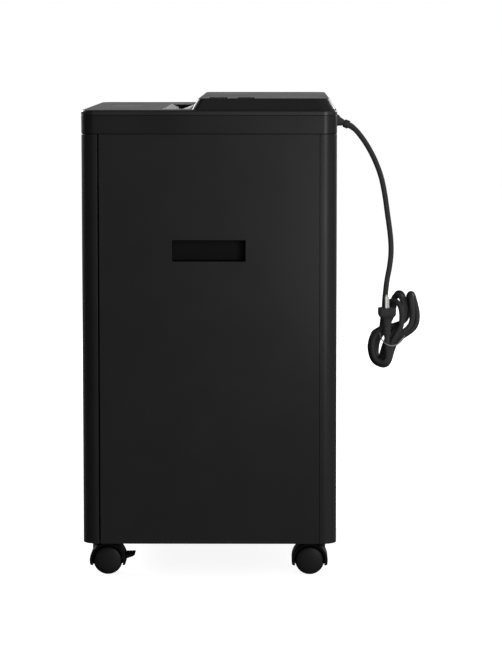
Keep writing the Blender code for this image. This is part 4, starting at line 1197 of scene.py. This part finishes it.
def make_casters():
    for end, trail in (("front", 1), ("rear", -1)):
        for hand, out in (("right", 1), ("left", -1)):
            tag = f"{end}_{hand}"
            x, centre = make_hood(tag, trail)
            make_wheel(f"wheel_outer_{tag}", centre, out)
            make_wheel(f"wheel_inner_{tag}", centre, -out)
            stem = smooth(copied(f"caster_stem_{tag}", f"stem_{tag}"), 40)
            piece(stem, "shaft", f"caster_{tag}", "zinc_steel", f"caster_stem_{tag}")
            if end == "front":
                make_brake(tag, trail, x, centre)


make_casters()


# -------- mechanism


# CAD nodes, their look, the body they ride on, their record slot and the width their edges are rounded by
REFINED = (
    (("base_tray",), "inner", "cabinet", "inner_moulding", 0.0005),
    (("runner_right", "runner_left"), "zinc", "cabinet", "zinc_steel", 0.0003),
    (("cutter_plate_left", "cutter_plate_right"), "zinc", "cabinet", "zinc_steel", 0.0002),
    (("stripper_front", "stripper_rear"), "nylon", "cabinet", "nylon", 0.0002),
    (("timing_gear_front",), "cutter", "cutter_front", "cutter_steel", 0.00015),
    (("timing_gear_rear",), "cutter", "cutter_rear", "cutter_steel", 0.00015),
    (("final_gear",), "nylon", "cutter_rear", "nylon", 0.00015),
    (("idler_gear",), "nylon", "idler", "nylon", 0.0001),
    (("motor_pinion",), "shaft", "motor_rotor", "zinc_steel", 0.0001),
    (("motor_shaft",), "shaft", "motor_rotor", "zinc_steel", 0.0002),
    (("motor_fan",), "inner", "motor_rotor", "inner_moulding", 0.0003),
    (("gear_plate",), "zinc", "cabinet", "zinc_steel", 0.0002),
    (("paper_lever",), "inner", "paper_flag", "inner_moulding", 0.0002),
    (("door_switch",), "inner", "cabinet", "inner_moulding", 0.0004),
    (("switch_plunger",), "nylon", "door_pin", "nylon", 0.0002),
    (("control_board",), "board", "cabinet", "board", 0.0001),
)
CORE_RADIUS = 0.0130
JOURNAL = 0.0060
DISCS = 9
DISC_PITCH = 0.0250
DISC_WIDTH = 0.0116
# Width of one of a pair's two discs, which leaves a hair's gap between them
DISC_HALF_WIDTH = 0.0056
FIRST_DISC_X = -0.0720
DISC_TEETH = 8
# One hooked tooth: its place along the pitch, and how far below the tip circle
TOOTH = ((0.00, 0.0036), (0.05, 0.0), (0.28, 0.0), (0.90, 0.0024))


def disc_outline(centre, radius, phase):
    points = []
    for tooth in range(DISC_TEETH):
        for along, below in TOOTH:
            angle = phase + (tooth + along) * math.tau / DISC_TEETH
            points.append(polar(centre, radius - below, angle))
    return points


def make_cutter(node, body, first_x):
    """Shaft with hooked discs in pairs, each pair turned a little on from the last."""
    low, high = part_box(node)
    centre = centre_of(node).yz
    radius = (high.z - low.z) / 2
    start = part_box("cutter_plate_left")[1].x + 0.001 - low.x
    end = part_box("cutter_plate_right")[0].x - 0.001 - low.x
    long = high.x - low.x
    edge = 0.0004
    profile = [(0, 0), (JOURNAL - edge, 0), (JOURNAL, edge), (JOURNAL, start)]
    profile += [(CORE_RADIUS - edge, start), (CORE_RADIUS, start + edge)]
    profile += [(CORE_RADIUS, end - edge), (CORE_RADIUS - edge, end)]
    profile += [(JOURNAL, end), (JOURNAL, long - edge), (JOURNAL - edge, long), (0, long)]
    parts = [turned(f"{node}_core", profile, (low.x, *centre), (1, 0, 0))]
    for disc in range(DISCS):
        for half in (-1, 1):
            x = first_x + disc * DISC_PITCH + half * DISC_WIDTH / 4
            phase = 0.35 * disc + 0.12 * half
            hole = circle(centre, CORE_RADIUS - 0.0003)
            outline = disc_outline(centre, radius, phase)
            span = (x - DISC_HALF_WIDTH / 2, x + DISC_HALF_WIDTH / 2)
            parts.append(plate(f"disc_{disc}_{half}", [outline, hole], "YZ", span))
    cutter = soften(together(f"{node}_hooked", parts), 0.00015, 1)
    piece(cutter, "cutter", body, "cutter_steel", node)


def make_motor():
    """Can with a rolled rim and a bell at each end, two long bolts and two terminals."""
    low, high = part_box("motor_body")
    centre = centre_of("motor_body").yz
    radius = (high.z - low.z) / 2
    long = high.x - low.x
    bore = 0.0034
    boss = 0.0120
    can = radius - 0.0012
    shoulder = radius - 0.0040
    profile = [(bore, 0.0), (boss, 0.0), (shoulder, 0.0), (radius - 0.0016, 0.0014), (can, 0.0030)]
    profile += [(can, 0.0090), (radius, 0.0094), (radius, long - 0.0180), (can, long - 0.0176)]
    profile += [(can, long - 0.0070), (shoulder, long - 0.0042), (boss, long - 0.0040)]
    profile += [(boss - 0.0006, long), (bore, long)]
    parts = [turned("motor_can", profile, (low.x, *centre), (1, 0, 0), 64, closed=True)]
    first = 0.6
    for angle in (first, first + math.pi):
        y, z = polar(centre, 0.0230, angle)
        parts.append(rod("bolt", 0.0028, (high.x - 0.0052, y, z), (high.x - 0.0014, y, z), 6, 0.0003))
        y, z = polar(centre, 0.0190, angle + 1.4)
        terminal_low = (high.x - 0.0046, y - 0.0024, z - 0.0004)
        parts.append(box("terminal", terminal_low, (high.x + 0.0010, y + 0.0024, z + 0.0004)))
    motor = smooth(together("motor_assembly", parts), 40)
    piece(motor, "motor", "cabinet", "zinc_steel", "motor_body")


def make_board_parts():
    """Key switches below the two buttons, a connector and a capacitor on the control board."""
    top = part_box("control_board")[1].z - 0.0001
    parts = []
    for node in ("button_power", "button_reverse"):
        x, y, _ = centre_of(node)
        parts.append(box("switch", (x - 0.0030, y - 0.0030, top), (x + 0.0030, y + 0.0030, top + 0.0018)))
        parts.append(rod("stem", 0.0016, (x, y, top + 0.0010), (x, y, top + 0.0024), 24))
    low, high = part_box("control_board")
    parts.append(box("connector", (low.x + 0.0015, 0.0268, top), (low.x + 0.0115, 0.0346, top + 0.0052)))
    x, y = high.x - 0.0060, 0.0307
    parts.append(rod("capacitor", 0.0030, (x, y, top), (x, y, top + 0.0060), 32, 0.0004))
    made = soften(together("board_parts", parts), 0.0002, 2)
    piece(made, "inner", "cabinet", "inner_moulding")


def make_mechanism():
    for nodes, *rest in REFINED:
        for node in nodes:
            refine(node, f"{node}_refined", *rest)
    make_cutter("cutter_shaft_front", "cutter_front", FIRST_DISC_X)
    make_cutter("cutter_shaft_rear", "cutter_rear", FIRST_DISC_X + DISC_PITCH / 2)
    make_motor()
    make_board_parts()


make_mechanism()

bpy.context.scene.view_settings.view_transform = "Standard"
bpy.context.view_layer.update()
